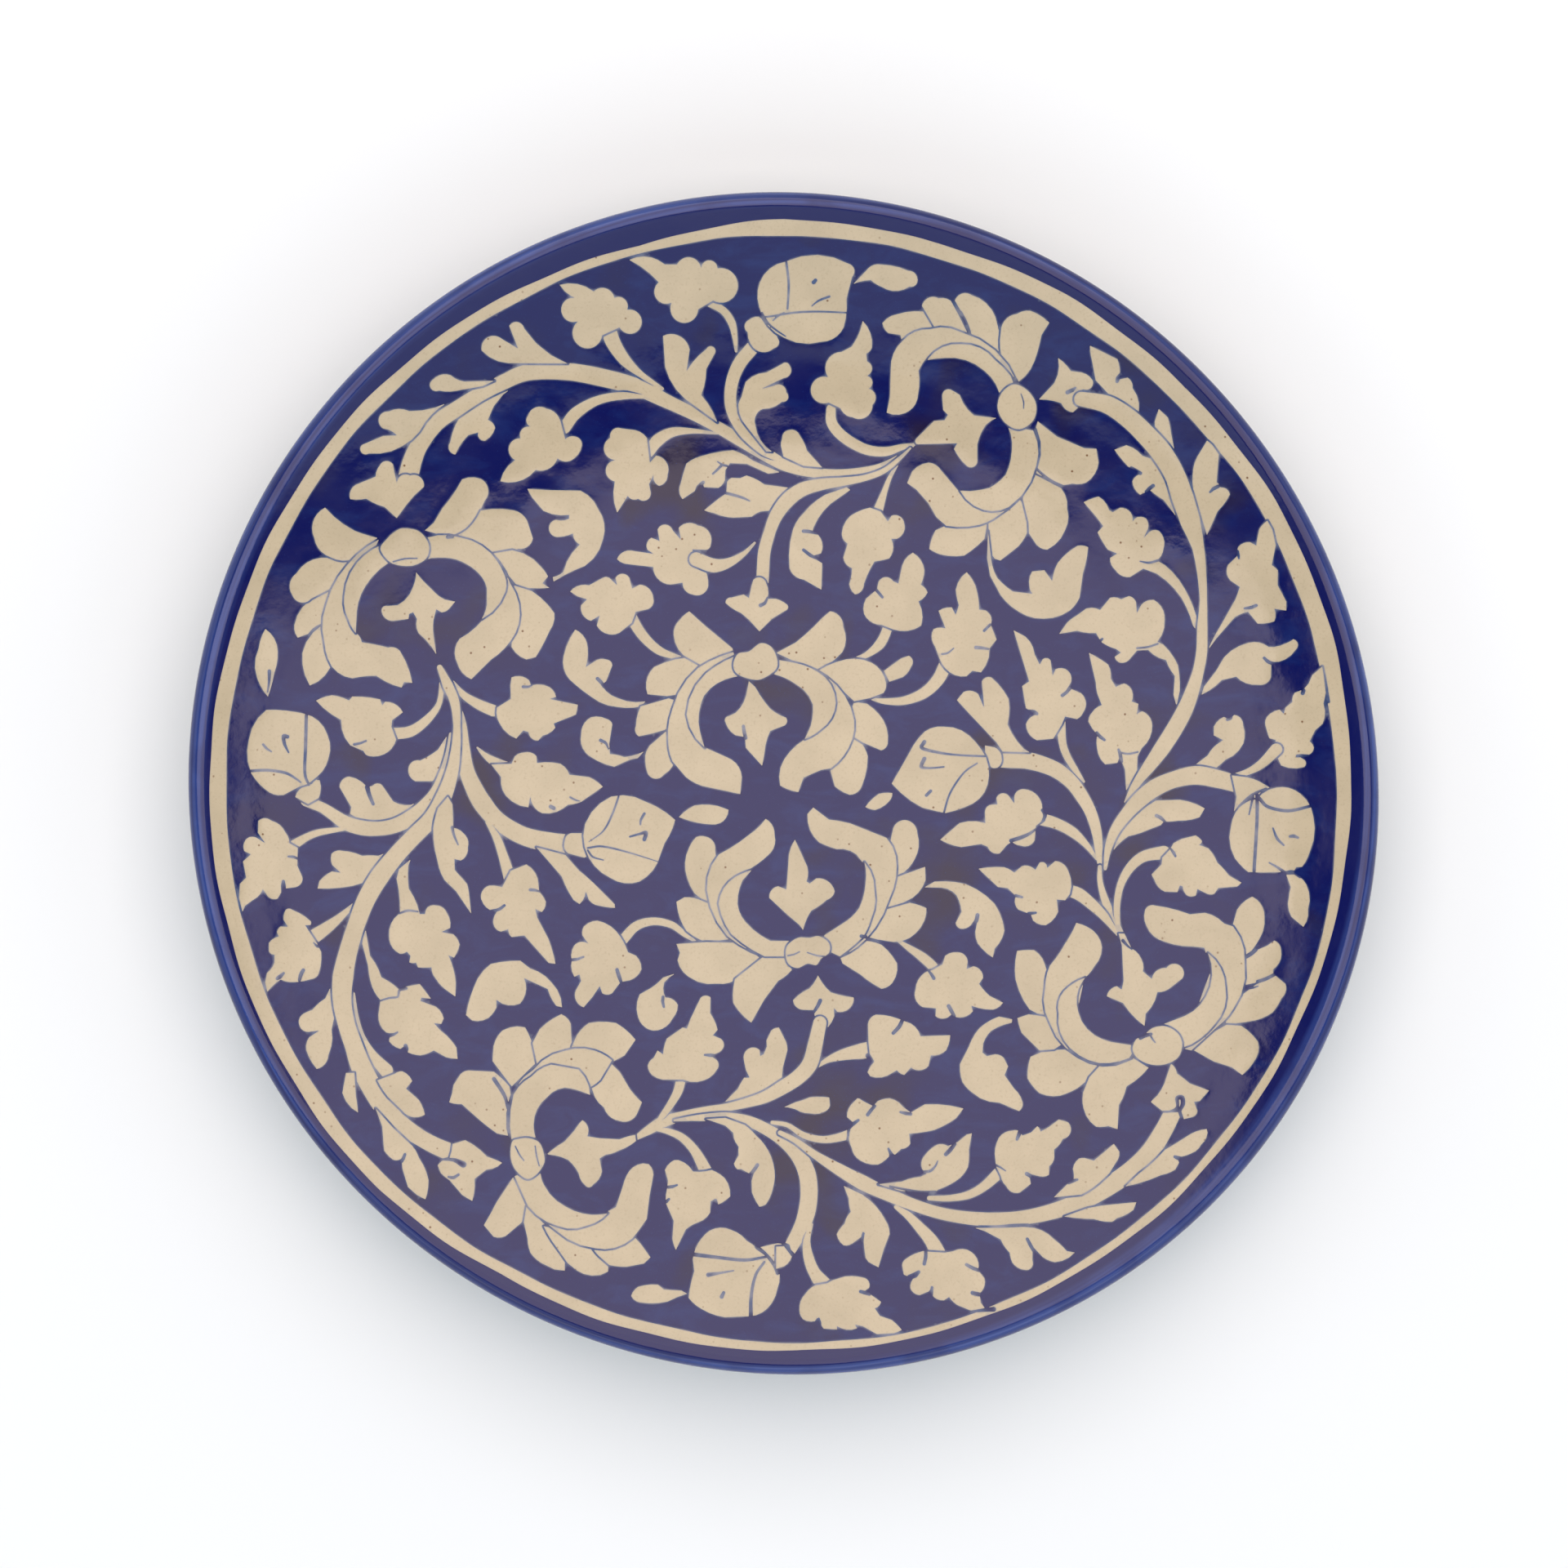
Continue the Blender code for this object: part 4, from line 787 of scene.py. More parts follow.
def lotus_right(c):
    """The lotus round the disc at (95, -66), which opens upwards beside the right-hand vine."""
    c.patch([(59.7, -42.5, .02), (64, -42.3, .1), (66.8, -46), (68, -50, -.05), (68.3, -58), (66.5, -59.4),
            (62.8, -57.5, .05), (59.3, -50, .05)])
    c.patch([(59.7, -59.7), (62.5, -58.7, .02), (68, -59.6), (71.5, -66), (69, -67.6), (65.3, -67.9),
            (60.8, -63.5, .03)])
    c.patch([(119, -28.4, .15), (122, -33.5, .08), (120.8, -39, .03), (117.3, -43.9), (115.5, -39),
            (114, -36), (115.2, -31.8, .08)])
    c.patch([(119.5, -42.2), (122.6, -40.8), (124.4, -39.5, .15), (126, -41.8, .15), (124, -46.8),
            (124, -48), (120, -50.2), (116, -51), (116.8, -44)])
    c.brush([(117.4, -43.8), (118.6, -43), (119.8, -41.9)], (.7, .9, .9))
    c.patch([(124.6, -48.4), (127, -50.4, .15), (126, -54, .03), (123.8, -57.6, .05), (119.5, -59.7, .02),
            (112, -60.8), (114, -55), (119.8, -50.6)])
    c.brush([(120.2, -49.9), (122.2, -49.2), (124.8, -47.8)], (.9, .9, .8))
    c.brush([(117.8, -51.8), (119, -51.5), (120.2, -51.1)], (.4, .5, .3))
    c.patch([(112.3, -60.9), (116, -61.1, .05), (120, -65, .1), (119.6, -69, .05), (116, -73.5),
            (113.5, -71.6), (109, -70.2), (104, -67.4), (107, -64)])
    c.patch([(92.2, -32, .2), (94.7, -30.8, .03), (103.5, -33), (107.3, -32.6, .08), (112, -35.3),
            (114.2, -36, .1), (117, -45, .1), (114, -57, .05), (110, -61.5), (103.5, -67.5), (101, -67),
            (96, -61), (105, -57), (108.7, -47), (107, -41.5), (104, -41.2, .05), (97, -40, .12),
            (92.6, -36.2, .1)])
    c.patch([(107.9, -42.8, .12), (112.2, -51.5, .12), (109.3, -61, .05), (103.5, -66), (100.8, -67),
            (96, -61.2), (102, -58.8, -.08), (107.2, -54, -.12)])
    c.patch([(74.8, -35.3, .05), (79, -37.2, .1), (81.3, -41.5, .1), (79.3, -46.5, .05), (76.8, -49.5),
            (74.5, -60), (80, -68), (88.5, -68), (88.5, -69.6), (84.5, -71.2, .1), (75, -69.3, .1),
            (68, -61, .1), (66.8, -52, .05), (68, -46.3, -.03), (72, -40.5, -.03)])
    c.patch([(77, -49.3, .05), (72.6, -51.8, .15), (70.2, -58.5, .12), (73, -67.2, .08), (80.5, -71, .06),
            (88, -69.6), (89.8, -66.5), (85.5, -65.9, -.06), (79.3, -63.9, -.1), (75.2, -58, -.08),
            (75.3, -52.3, -.03)])
    c.blob([(88.8, -67.5), (89.6, -65), (91.5, -63.9), (94, -61.9), (97.3, -61.5), (100.2, -63.2),
           (101.3, -66), (100.2, -69.3), (97, -71.1), (93.3, -71.2), (90.2, -69.8)])
    c.brush([(90.8, -64.6), (92, -63.9), (93.5, -63.5)], (.8, 1, .8))
    c.brush([(93.2, -63.6), (93.8, -64.7), (94.5, -65.6)], (.5, .5, .3))
    c.patch([(85.5, -38), (86.3, -41), (86.7, -50), (86.2, -52.3), (85, -51.4, .15), (82.4, -54),
            (86.5, -55.7, .05), (91.9, -61.5), (92.2, -58.4, .08), (95.2, -52.9, .08), (98, -52.1),
            (101.5, -49.3, .5), (97.5, -46.7, .2), (93.8, -49.5), (91.6, -47.6, .1), (91.3, -44.6, .1),
            (88.8, -41.8), (87, -38)])
    c.brush([(86.6, -39.8), (87.6, -41), (88.8, -42)], (.9, .6, .4))


def lotus_bottom_left(c):
    """The lotus round the disc at (-65, -95), which opens to the right."""
    c.patch([(-74.4, -70.5), (-74.2, -66.8, .08), (-72, -62.8, .1), (-66.2, -62, .03), (-64.2, -66.5),
            (-63.3, -71), (-69.5, -77)])
    c.patch([(-84.2, -76.5), (-82.5, -73.8, .1), (-80.5, -72.8), (-74, -73.2, .03), (-70, -77),
            (-69.4, -81), (-69.6, -89.5), (-73, -88.8, .02), (-79, -84), (-82, -81.3, .05), (-85.2, -80.8),
            (-84.5, -78.5)])
    c.brush([(-74, -75), (-71.3, -79.2), (-70.4, -82.4)], (1, .9, .7))
    c.patch([(-64.3, -66), (-62.5, -62.5, .05), (-57, -58.7, .1), (-54.6, -61), (-54.3, -66), (-56, -70),
            (-63, -72)])
    c.patch([(-54.3, -67), (-53, -64, .05), (-50, -61, .05), (-43, -61, .05), (-38, -65.3), (-40.8, -69.3),
            (-44, -71), (-54, -70)])
    c.patch([(-68.5, -99.2), (-72, -104.5, .03), (-74, -108), (-76, -111.5), (-73.5, -114.4, .1),
            (-70.5, -114.3), (-66.5, -111, .08), (-65.2, -106, .05), (-66, -103)])
    c.patch([(-66, -111), (-65.4, -107), (-60, -110), (-55, -114), (-55.5, -121), (-55.5, -123),
            (-58, -122.7), (-61.5, -121, .05), (-64.2, -118.5, .05), (-65, -115)])
    c.patch([(-61, -112), (-50, -114), (-44.5, -121), (-44.6, -123.4), (-46.5, -124.2, .1), (-52.5, -123),
            (-54.8, -121.2), (-57.5, -117.5, .03)])
    c.patch([(-49, -117), (-40, -113), (-36.5, -116.5), (-33.9, -120), (-35.5, -121.5), (-40, -122.3, .03),
            (-44.3, -121.8), (-47, -119.5, .03)])
    c.patch([(-45, -70.5), (-42, -73.5), (-39.4, -77.8, -.03), (-36.3, -81.2), (-37.5, -84, .2),
            (-42, -85.9, .15), (-46, -82.5, .1), (-49, -78), (-52, -70), (-50, -68.5)])
    c.patch([(-69.4, -91, .08), (-69.6, -80, .1), (-64, -72.8, .1), (-56, -68, .08), (-48.5, -68, .05),
            (-44, -70.5), (-47, -75.5, .05), (-50, -77.5), (-55.5, -74.5), (-63, -79), (-66, -90)])
    c.patch([(-68.5, -99.5), (-65.5, -105.5, .05), (-58, -113, .08), (-48, -117.6, .12), (-38.5, -115.3),
            (-36.9, -113.3), (-34.9, -110.5), (-34.3, -105), (-33.3, -99.5, .1), (-34.5, -96.8),
            (-36, -96.6, .1), (-39.5, -98.5, .05), (-41, -102), (-42.8, -107.5), (-48, -110), (-58, -106),
            (-63, -99)])
    c.patch([(-69.3, -91, .06), (-69, -79, .08), (-64.5, -74.5, .08), (-59.5, -71.5), (-52.5, -72.8, .1),
            (-49.5, -79.3), (-52, -78.3, -.03), (-56, -77.4, -.1), (-60.5, -79.8, -.12),
            (-63.8, -86.5, -.05), (-63.3, -89.8), (-66, -92)])
    c.patch([(-68.5, -99.5), (-65, -107, .08), (-57.5, -112, .1), (-50, -112, .08), (-44.8, -109, -.03),
            (-49, -109.3, -.06), (-55.5, -107.2, -.08), (-61, -101.8, -.06), (-61.9, -99), (-65, -98)])
    c.blob([(-69.3, -91), (-69.6, -94.5), (-68.4, -97.8), (-65.5, -100.2), (-63, -99.2), (-61.1, -96.5),
           (-61.1, -94.2), (-62.3, -91.2), (-65, -90), (-67.8, -90.2)])
    c.brush([(-68.4, -92), (-67.3, -94.2), (-66.2, -95.6)], (.3, .4, .3))
    c.brush([(-63.4, -92), (-63, -94.5), (-62.3, -97)], (.3, .4, .3))
    c.patch([(-60.3, -94, .03), (-56, -91), (-53.5, -88.2, .03), (-51.5, -85.6, .2), (-50.2, -89.7),
            (-47, -90.2), (-42, -90.5, .03), (-38, -89.4), (-37.8, -91, .05), (-42, -93.3, .05),
            (-45.5, -94.4), (-47, -95.3), (-46.4, -98.5, .12), (-48.6, -101.8, .3), (-50.6, -102, .1),
            (-52.3, -99, -.05), (-55, -95.6, -.05), (-60, -94.2)])


def bottom_stems(c):
    """The stems that run along the bottom, and the leaves and the bud that they carry."""
    c.patch([(-4.5, -65.5), (-3.3, -63, .1), (-1.3, -62.2), (0, -64.8, .08), (.9, -68), (-.3, -72.5),
            (-.6, -76), (-6, -79.8), (-16, -82), (-14, -80), (-11.8, -77.8, .03), (-10.2, -75), (-8.8, -75),
            (-9.8, -73), (-10.3, -70.5, .1), (-10, -68.5, .15), (-7.8, -67.3, .1), (-6.2, -68),
            (-6.1, -69.5), (-5.2, -69), (-4.4, -67)])
    c.vine([(-38, -90.3), (-34.5, -88.2), (-31, -86.2), (-26, -84.7), (-20.5, -83.4), (-15, -82.6),
           (-10, -81.5), (-5, -80), (-.5, -77.6), (3.6, -74.9), (6.6, -71.5), (8, -66.5), (9.2, -61)],
           [1.2, 2.4, 3, 2.4, 2, 2, 2.4, 3, 3.6, 3.8, 4, 3.8, 3.4], root=0)
    c.vine([(-28, -85.8), (-22, -85.2), (-15, -85.1), (-9, -86.1), (-4.2, -88.3), (0, -91), (3.6, -94.6),
           (5.8, -99), (6.4, -103.6), (5.9, -108.4), (4.4, -112.8), (1.4, -118.2)],
           [.5, 1.6, 2.6, 2.8, 3, 3.4, 4, 4.4, 4.4, 4.4, 4, 3.4], root=0)
    c.patch([(-15, -87.2), (-13, -89, .1), (-11.6, -92.5, .05), (-11.6, -94.6), (-12.8, -96.7, .1),
            (-11.9, -98.2), (-11, -98.1), (-9, -99.2), (-7.3, -98), (-8.3, -101), (-8.2, -104, .03),
            (-6.3, -107.6, .05), (-4.6, -107, .05), (-2.8, -103, .05), (-2.4, -98.5, .05), (-4, -93.5, .05),
            (-7, -89.8, .03), (-10, -87), (-15, -85.2), (-20, -85.5)])
    c.brush([(-6.8, -97.1), (-7.6, -98.3), (-8.5, -99.4)], (.9, .9, .8))
    c.vine([(-32.5, -88), (-29.5, -88.6), (-26, -90.2), (-22.8, -93.5), (-20, -98.5)],
           [1, 1.6, 2, 2.4, 3.2])
    c.patch([(-30.4, -98.3, .1), (-28, -95.8), (-27, -95.8, .1), (-23.2, -98.7, -.05), (-18.5, -98.3, .05),
            (-15.2, -100.3, .1), (-13.7, -105, .05), (-17.2, -107.2), (-17.7, -105.7), (-18.7, -106.2),
            (-18.8, -109, .1), (-22, -111.5, -.05), (-25, -113.2), (-27.5, -118.3, .03), (-28.4, -115.5),
            (-28.1, -111), (-30.1, -106.6, .05), (-29.9, -103.5), (-29.6, -101)])
    c.brush([(-29.5, -102.6), (-28.5, -102.5), (-27.3, -102.1)], (.8, .8, .5))
    c.brush([(-30, -106.2), (-29.3, -105.6)], (.9, .6))
    c.brush([(-17.5, -106), (-17.3, -107), (-17.4, -108.6)], (.9, 1, 1))
    c.vine([(-32.8, -86.6), (-30.9, -84.4), (-28.8, -81.4), (-27, -78), (-26, -73)], [.6, 1.6, 2, 2.4, 2.6])
    c.patch([(-21.4, -54.6, .2), (-18.8, -54.5), (-18.9, -58.5, .05), (-17, -62.8), (-18.2, -64.2),
            (-16.3, -65, .2), (-15.6, -67.5, .1), (-17.2, -68.8), (-18.8, -69.4), (-17.3, -70.4, .2),
            (-17.2, -73, .1), (-20.5, -75.7, .1), (-25.8, -75.5), (-29.5, -75.5, .1), (-33.8, -74.3, .1),
            (-34.9, -71.8, .1), (-33.4, -69.9), (-32.4, -68), (-31, -69, .05), (-30, -65),
            (-26, -62.2, .05), (-24.9, -62.5), (-24, -60)])
    c.brush([(-20.3, -69.2), (-18.8, -69.3), (-17.3, -69.4)], (.5, .9, .7))
    c.patch([(-24.2, -130, .03), (-22.8, -123.5), (-23.2, -120.5, .05), (-21.8, -116.5, .05),
            (-19, -113.5, .12), (-13.5, -113.3, .08), (-9.5, -116, .03), (-6, -118.6), (-1.5, -122.5, .1),
            (-1.7, -128, .08), (-4, -132.5, .1), (-8.8, -134.6), (-15, -134.8, .05), (-21, -132.7, .05)])
    c.patch([(-6.8, -117.8), (-3, -116.9, .1), (1, -117.3), (2, -121), (-.5, -123, .1), (-3.5, -120)])
    c.brush([(-7, -117.5), (-4.6, -119.4), (-2.5, -122), (-1.6, -124)], (1, .8, .9, 1))
    c.brush([(-22.7, -119.4), (-17, -120.1), (-10, -120.8), (-4.4, -120)], (1, .8, .8, .6))
    c.brush([(-5, -121.3), (-7.2, -124.5), (-8.3, -129.5), (-8.4, -134.5)], (.6, .7, .8, 1))
    c.brush([(-19.2, -124.4), (-16.5, -124), (-12.8, -123.4)], (1.1, .6, .3))
    c.brush([(-15.3, -128.8), (-15.8, -129.8)], (.8, 1))
    c.patch([(-38.7, -129.4, .1), (-37, -127.2, .05), (-32, -126.7, .03), (-30.5, -127.9), (-26, -128.2),
            (-24.5, -129), (-27, -129.8), (-29.5, -130.9, .05), (-36.5, -131, .12)])


def leaves_bottom_left(c):
    """Ends of the trunk at the bottom left, with the curl and leaves along the rim."""
    c.patch([(-81.2, -58.8), (-79.6, -60.2, .1), (-75.5, -59.6, .05), (-73.5, -57), (-73.5, -55),
            (-72, -56, .1), (-67.5, -56, .15), (-66.5, -49.5), (-60.5, -52.3, .05), (-58.3, -56.6),
            (-56.8, -57, .1), (-59.5, -50.6, .08), (-65, -47), (-67.5, -45, .03), (-75, -45.8, .08),
            (-79.3, -51.8, .03)])
    c.patch([(-98.9, -73.4, .1), (-97, -72.8, .1), (-94.5, -75.3), (-96, -77.2), (-92.8, -80, .05),
            (-91.2, -83.8, .2), (-97, -82.6), (-100.5, -79.2, .03), (-103.2, -75)])
    c.patch([(-111, -73), (-111.8, -78, .1), (-107.8, -83, .02), (-108.4, -79), (-108.9, -73)])
    c.patch([(-103.5, -82), (-101.8, -86.5), (-101.2, -92.5, .05), (-99, -94.8, .15), (-96.8, -94.6),
            (-96.6, -97), (-95, -102), (-90.8, -105.3, .05), (-90, -100, .05), (-92.5, -94.5, .05),
            (-94.2, -91.5), (-99, -87)])
    c.brush([(-96, -93.6), (-96.4, -94.6), (-96.7, -95.3)], (.7, .9, .7))
    c.brush([(-95.2, -102.2), (-93, -104), (-90.8, -105.3)], (.9, .7, .9))
    c.patch([(-84.2, -91.2), (-81, -90.3, .05), (-75.5, -94.5, .02), (-71.6, -96.1, .1), (-75.6, -97.8),
            (-78.5, -100, .05), (-79, -105.5), (-81.5, -104), (-84.8, -100.2, .03), (-87, -98.4),
            (-87.8, -96.5, .15), (-85, -95), (-84.4, -93)])
    c.brush([(-86.8, -95), (-83.8, -95.2), (-81.4, -96.4)], (.5, .9, 1.6))
    c.brush([(-85, -99.4), (-83.8, -99.6), (-82.6, -98.9)], (.6, .8, .7))


def bottom_right_stems(c):
    """The long stem along the bottom right rim, with the leaves on both sides of it."""
    c.brush([(-.2, -117.2), (1.2, -118.4), (2.6, -119.8)], (1, .9, 1))
    c.patch([(-2, -117.5), (0, -117.4), (2, -120, .1), (0, -122.4), (-2, -123)])
    c.vine([(7, -112), (5.8, -116), (6.2, -120), (7.8, -124), (11, -128)], [.8, 1.8, 2.6, 3, 4.4])
    c.patch([(3.9, -133.2, .12), (5.5, -129, .08), (8, -127), (11, -126.5), (12.2, -125.8),
            (15.5, -124.8, .05), (20.6, -125.2, .2), (21.6, -127.6), (20.6, -128.3), (24.6, -131, .15),
            (23, -132.6), (24.3, -134.4), (27.3, -135.4, .03), (29.8, -137.8), (28, -138.6), (23.5, -138.9),
            (20, -137), (18, -136.6), (18.5, -137.5, .1), (14.5, -137.5), (13.4, -137), (13.4, -137.8),
            (10, -137.6, .1), (9.2, -135.6), (8.4, -135), (7.8, -135.8, .1), (4.8, -135.3, .1)])
    c.brush([(19.4, -128.5), (20.5, -128.8), (21.7, -129.2)], (.8, .9, .7))
    c.brush([(8.8, -135.2), (9, -136.2), (9, -137)], (.6, .9, .8))
    c.vine([(-3, -86.4), (1, -87.1), (5, -89.6), (10, -90.7), (15, -89.9), (19.5, -88.2)],
           [1, 1.2, 1.6, 1.8, 2.2, 3])
    c.patch([(16.1, -85, .1), (17.2, -81.8), (18.8, -80.2, .1), (20, -80.8), (22.8, -82.2),
            (24, -80.9, .05), (27, -80.2, .1), (30.5, -82.4), (32.4, -83.8), (36, -81.7, .04),
            (45.9, -82.7), (44, -85.2, .03), (38.5, -88.2, .02), (32, -89.2), (32.3, -91.6, .15), (30, -93),
            (28.2, -94.6), (27, -93.2), (26.8, -95, .05), (24, -97, .08), (19.5, -96, .12),
            (17.3, -92.8, .05), (16.5, -90), (17, -88), (18.2, -86.8)])
    c.brush([(21.4, -84.4), (22.3, -83.2), (23.2, -82.2)], (.9, .9, .8))
    c.brush([(29.8, -83.7), (31, -84), (32.4, -84.2)], (.6, .9, .8))
    c.brush([(19, -85.8), (17.6, -86.8), (16.6, -87.6), (16.4, -89.6), (16, -92.2)], (.7, 1, .7, .6, .6))
    c.brush([(26.7, -93), (27.3, -94.2), (28, -94.8)], (.6, .9, .8))
    c.vine([(-1, -89), (3, -91), (8, -94.6), (14, -98.2), (20, -101.5), (26, -104.2), (33, -107),
           (41, -109.3), (50, -110.4), (59, -110.1), (67, -108.6), (75, -105.8), (82, -102), (88, -97.8),
           (92.5, -93.5), (95.8, -88.5), (98.2, -84), (99.5, -81)], [1.2, 1.4, 2, 3, 3.8, 3.4, 3, 3, 3.4,
           3.4, 3.8, 4.4, 4.6, 4.6, 4.6, 4.4, 4.2, 4], root=0)
    c.patch([(15.2, -102.3), (16.5, -105.5, .05), (17, -108.8, .08), (15.4, -111.8, .05),
            (13.4, -114.4, .1), (15.2, -117.2, .1), (17.4, -116.7), (19.5, -115.2), (20.2, -116.5),
            (20.2, -119.5), (21.4, -121.2), (24, -122.6), (25.4, -118), (26.9, -114.3, .08),
            (25.8, -110.8, .05), (22, -106), (20, -104.5)])
    c.brush([(20.2, -114.2), (19.9, -116), (20.2, -118.6), (20.5, -120)], (.7, .7, .6, .4))
    c.vine([(28.5, -107.6), (31.5, -109.6), (34.5, -112.6), (37.5, -116), (39.5, -120)],
           [1, 2, 2.6, 3.4, 4.2])
    c.patch([(30, -122.2, .15), (31, -120.4, .05), (34.5, -118.7, .1), (36.8, -118.6), (40.8, -118.8),
            (43, -118.4, .1), (46.5, -118, .1), (49, -120.2, .1), (49.2, -123), (50.8, -125, .15),
            (49.4, -128.8, .03), (49.8, -131), (50.8, -132.3), (47.4, -133), (43.8, -131.6, .05),
            (41.8, -129.7), (40.5, -130.5, .1), (38, -129.8, .15), (37.4, -127.6), (36.6, -128.4),
            (34.4, -129.3, .15), (32, -127.6, .15), (33.8, -124.4), (32, -125), (30.4, -124.3)])
    c.brush([(36, -118.2), (36, -119.8), (35.6, -121.6)], (.8, .9, .9))
    c.brush([(31.8, -124.9), (33.2, -124.4), (34.2, -123.6)], (1.2, 1.4, .8))
    c.brush([(46.3, -121.7), (48, -122.6), (49.6, -123.1)], (.8, .9, .8))
    c.brush([(47.7, -128.6), (49, -128.9), (49.8, -129)], (1, 1.1, .9))
    c.brush([(37.5, -127.4), (37.4, -128.6), (37.3, -129.5)], (.7, .8, .8))
    c.brush([(47, -133.2), (50, -132.8), (53, -132.5)], (.5, .8, 1.2))
    c.patch([(24, -101.9), (30, -101.2, .05), (34.8, -100, .05), (36.3, -99.3), (35.2, -98, .15),
            (36, -94.5, .05), (38.5, -92.2, .15), (41.8, -92.2), (44.3, -91.2), (46.6, -89.3), (48, -88.9),
            (47.2, -93, .03), (46.9, -97.5, .08), (43.5, -101.2, .03), (39.2, -103.2), (38.5, -104),
            (30, -103.6)])
    c.brush([(41.3, -94.3), (42.4, -93.2), (43.6, -91.7)], (1, 1.1, .9))
    c.brush([(35.4, -98.8), (37.3, -98.5), (38.6, -97.3), (39.2, -96)], (.7, .7, .5, .3))
    c.brush([(27, -102.4), (31, -103.2), (35, -103.8), (38.6, -103.7)], (.5, .6, .7, .6))
    c.vine([(37, -105.3), (42, -105.3), (47, -104.4), (51, -102.2), (55, -98.6)], [1.2, 1.6, 2, 2.3, 3])
    c.patch([(53.7, -94, .06), (54.8, -90, .12), (58.3, -88.2, .12), (60, -88.3), (60.8, -89.4),
            (63, -88.6), (64.6, -87, .1), (65.4, -88.4), (67.5, -87.2), (70, -85.3, .03), (72.4, -86, .3),
            (71, -90.2, .08), (68.8, -92.8), (68.8, -94.8, .12), (67.5, -97), (67.4, -99.2, .1),
            (65, -99.6), (62.4, -99), (62.8, -101.5), (60, -103.7, .2), (56.6, -102.2, .1), (55.2, -99.6),
            (54, -97.2)])
    c.brush([(60.2, -88.2), (59.9, -89.2), (59.4, -90.4)], (.9, 1, .7))
    c.brush([(54, -96.9), (55.2, -97.5), (56.4, -98.3)], (.6, .5, .3))
    c.brush([(61.8, -99), (62.9, -99.6), (64.3, -99.8)], (1, .9, .7))
    c.patch([(48.5, -112.6), (51, -113.4), (55, -115.4, .06), (57.2, -118.6, .04), (57.8, -121, .12),
            (61, -122.8, .3), (62.9, -120.5), (63, -118), (61.8, -115.6), (63.4, -117.4),
            (65.5, -119.6, .05), (68.5, -120.8, .1), (73.6, -118.3), (71.6, -118, .03), (68.5, -115.2, .08),
            (63.5, -112.4), (61, -112.2), (55, -112.5)])
    c.brush([(61.7, -115.2), (62.3, -116.4), (63.2, -118)], (.8, .9, .8))
    c.brush([(49.5, -112.2), (54, -112.2), (58, -111.8), (62, -111.6)], (.5, .6, .6, .5))
    c.patch([(68.5, -104.8), (72, -101.4), (73.6, -100, -.05), (73.4, -97.6, .1), (75, -95, .08), (77, -95),
            (78.7, -95.5), (81.2, -93.4), (83.8, -91.2), (85.2, -93.2, .1), (84.2, -96), (82.6, -98.6),
            (80, -101, .03), (75.5, -104)])
    c.brush([(72.3, -101), (73.4, -100.6), (74.5, -100.3)], (1, .9, .6))
    c.patch([(71, -109.5), (77, -107.3), (80.5, -106.6), (89.2, -105.6), (88.4, -107.6, .05),
            (84.2, -109.7, .05), (83, -110.6, .05), (78.5, -110, .02)])
    c.patch([(86.5, -101.8), (90, -98.5, -.03), (96.5, -92.5), (99, -91), (103, -88.4, .05), (107, -87.1),
            (107.2, -88, .1), (105.6, -91, .1), (103, -93.3, .05), (99.5, -94.3), (100, -95.6),
            (99, -97.4, .05), (95.5, -98.8, .03)])
    c.brush([(99, -94.2), (99.8, -94.5), (100.8, -94.6)], (.8, 1, .9))
    c.patch([(0, -82.5), (3, -81.2, -.03), (6.5, -80, .03), (11.6, -80), (11.8, -82, .15),
            (10.2, -83.7, .1), (6.8, -84.1, .08), (3, -83.1, -.04)])
    c.patch([(98.4, -70.8), (97.3, -74, -.05), (94.8, -79, .03), (93.2, -80.6), (96, -82.8), (99.8, -82.6),
            (99.6, -79.6), (101, -79.3, .05), (101.2, -80.4), (100.7, -82.6), (101.4, -84.8),
            (103.6, -84.2, .15), (104.8, -82.6), (104, -80.4), (105.4, -80.2), (107.8, -77.5),
            (103, -75.8, .02), (99.9, -73.4, .1)])
    c.brush([(95.9, -83), (98, -82.9), (99.8, -81.8), (99.8, -79.6), (101, -79.4), (101.2, -81),
            (100.4, -82.8), (100.8, -84.8)], (.4, .5, .7, 1, 1.2, 1.1, .8, .5))


def lotus_right_lower_petals(c):
    """Lower left petals and curl of the right-hand lotus, drawn before its crescents."""
    c.patch([(63, -69.5), (66, -68.2, .03), (73, -67.6), (80.5, -71), (80, -73), (76.8, -75.8),
            (75, -77.3, .03), (70.5, -79.3, .08), (65.2, -78.7, .05), (62.2, -75, .05)])
    c.patch([(77.8, -74.6), (76.2, -78.5, .05), (76.3, -82.5, .1), (79.4, -87, .05), (82.5, -86.8),
            (84.8, -87.6), (85.2, -81.5, .05), (87.2, -76.8, .05), (92.8, -72), (88, -69), (82, -70)])
    c.patch([(58.4, -60), (55, -59.3, .05), (50, -62.3, .05), (47.3, -67), (45, -71.5, .05),
            (45.6, -76, .05), (48, -78.6, .1), (55, -81.2), (60, -83.3, .15), (60.9, -81, .08),
            (58.8, -77.6), (56.4, -74.2), (57.3, -72), (56.2, -69.8, .1), (54, -68.9), (51.9, -69.4),
            (50.8, -68.5), (51, -66.2, -.06), (53, -63, -.05), (58.3, -60.9)])


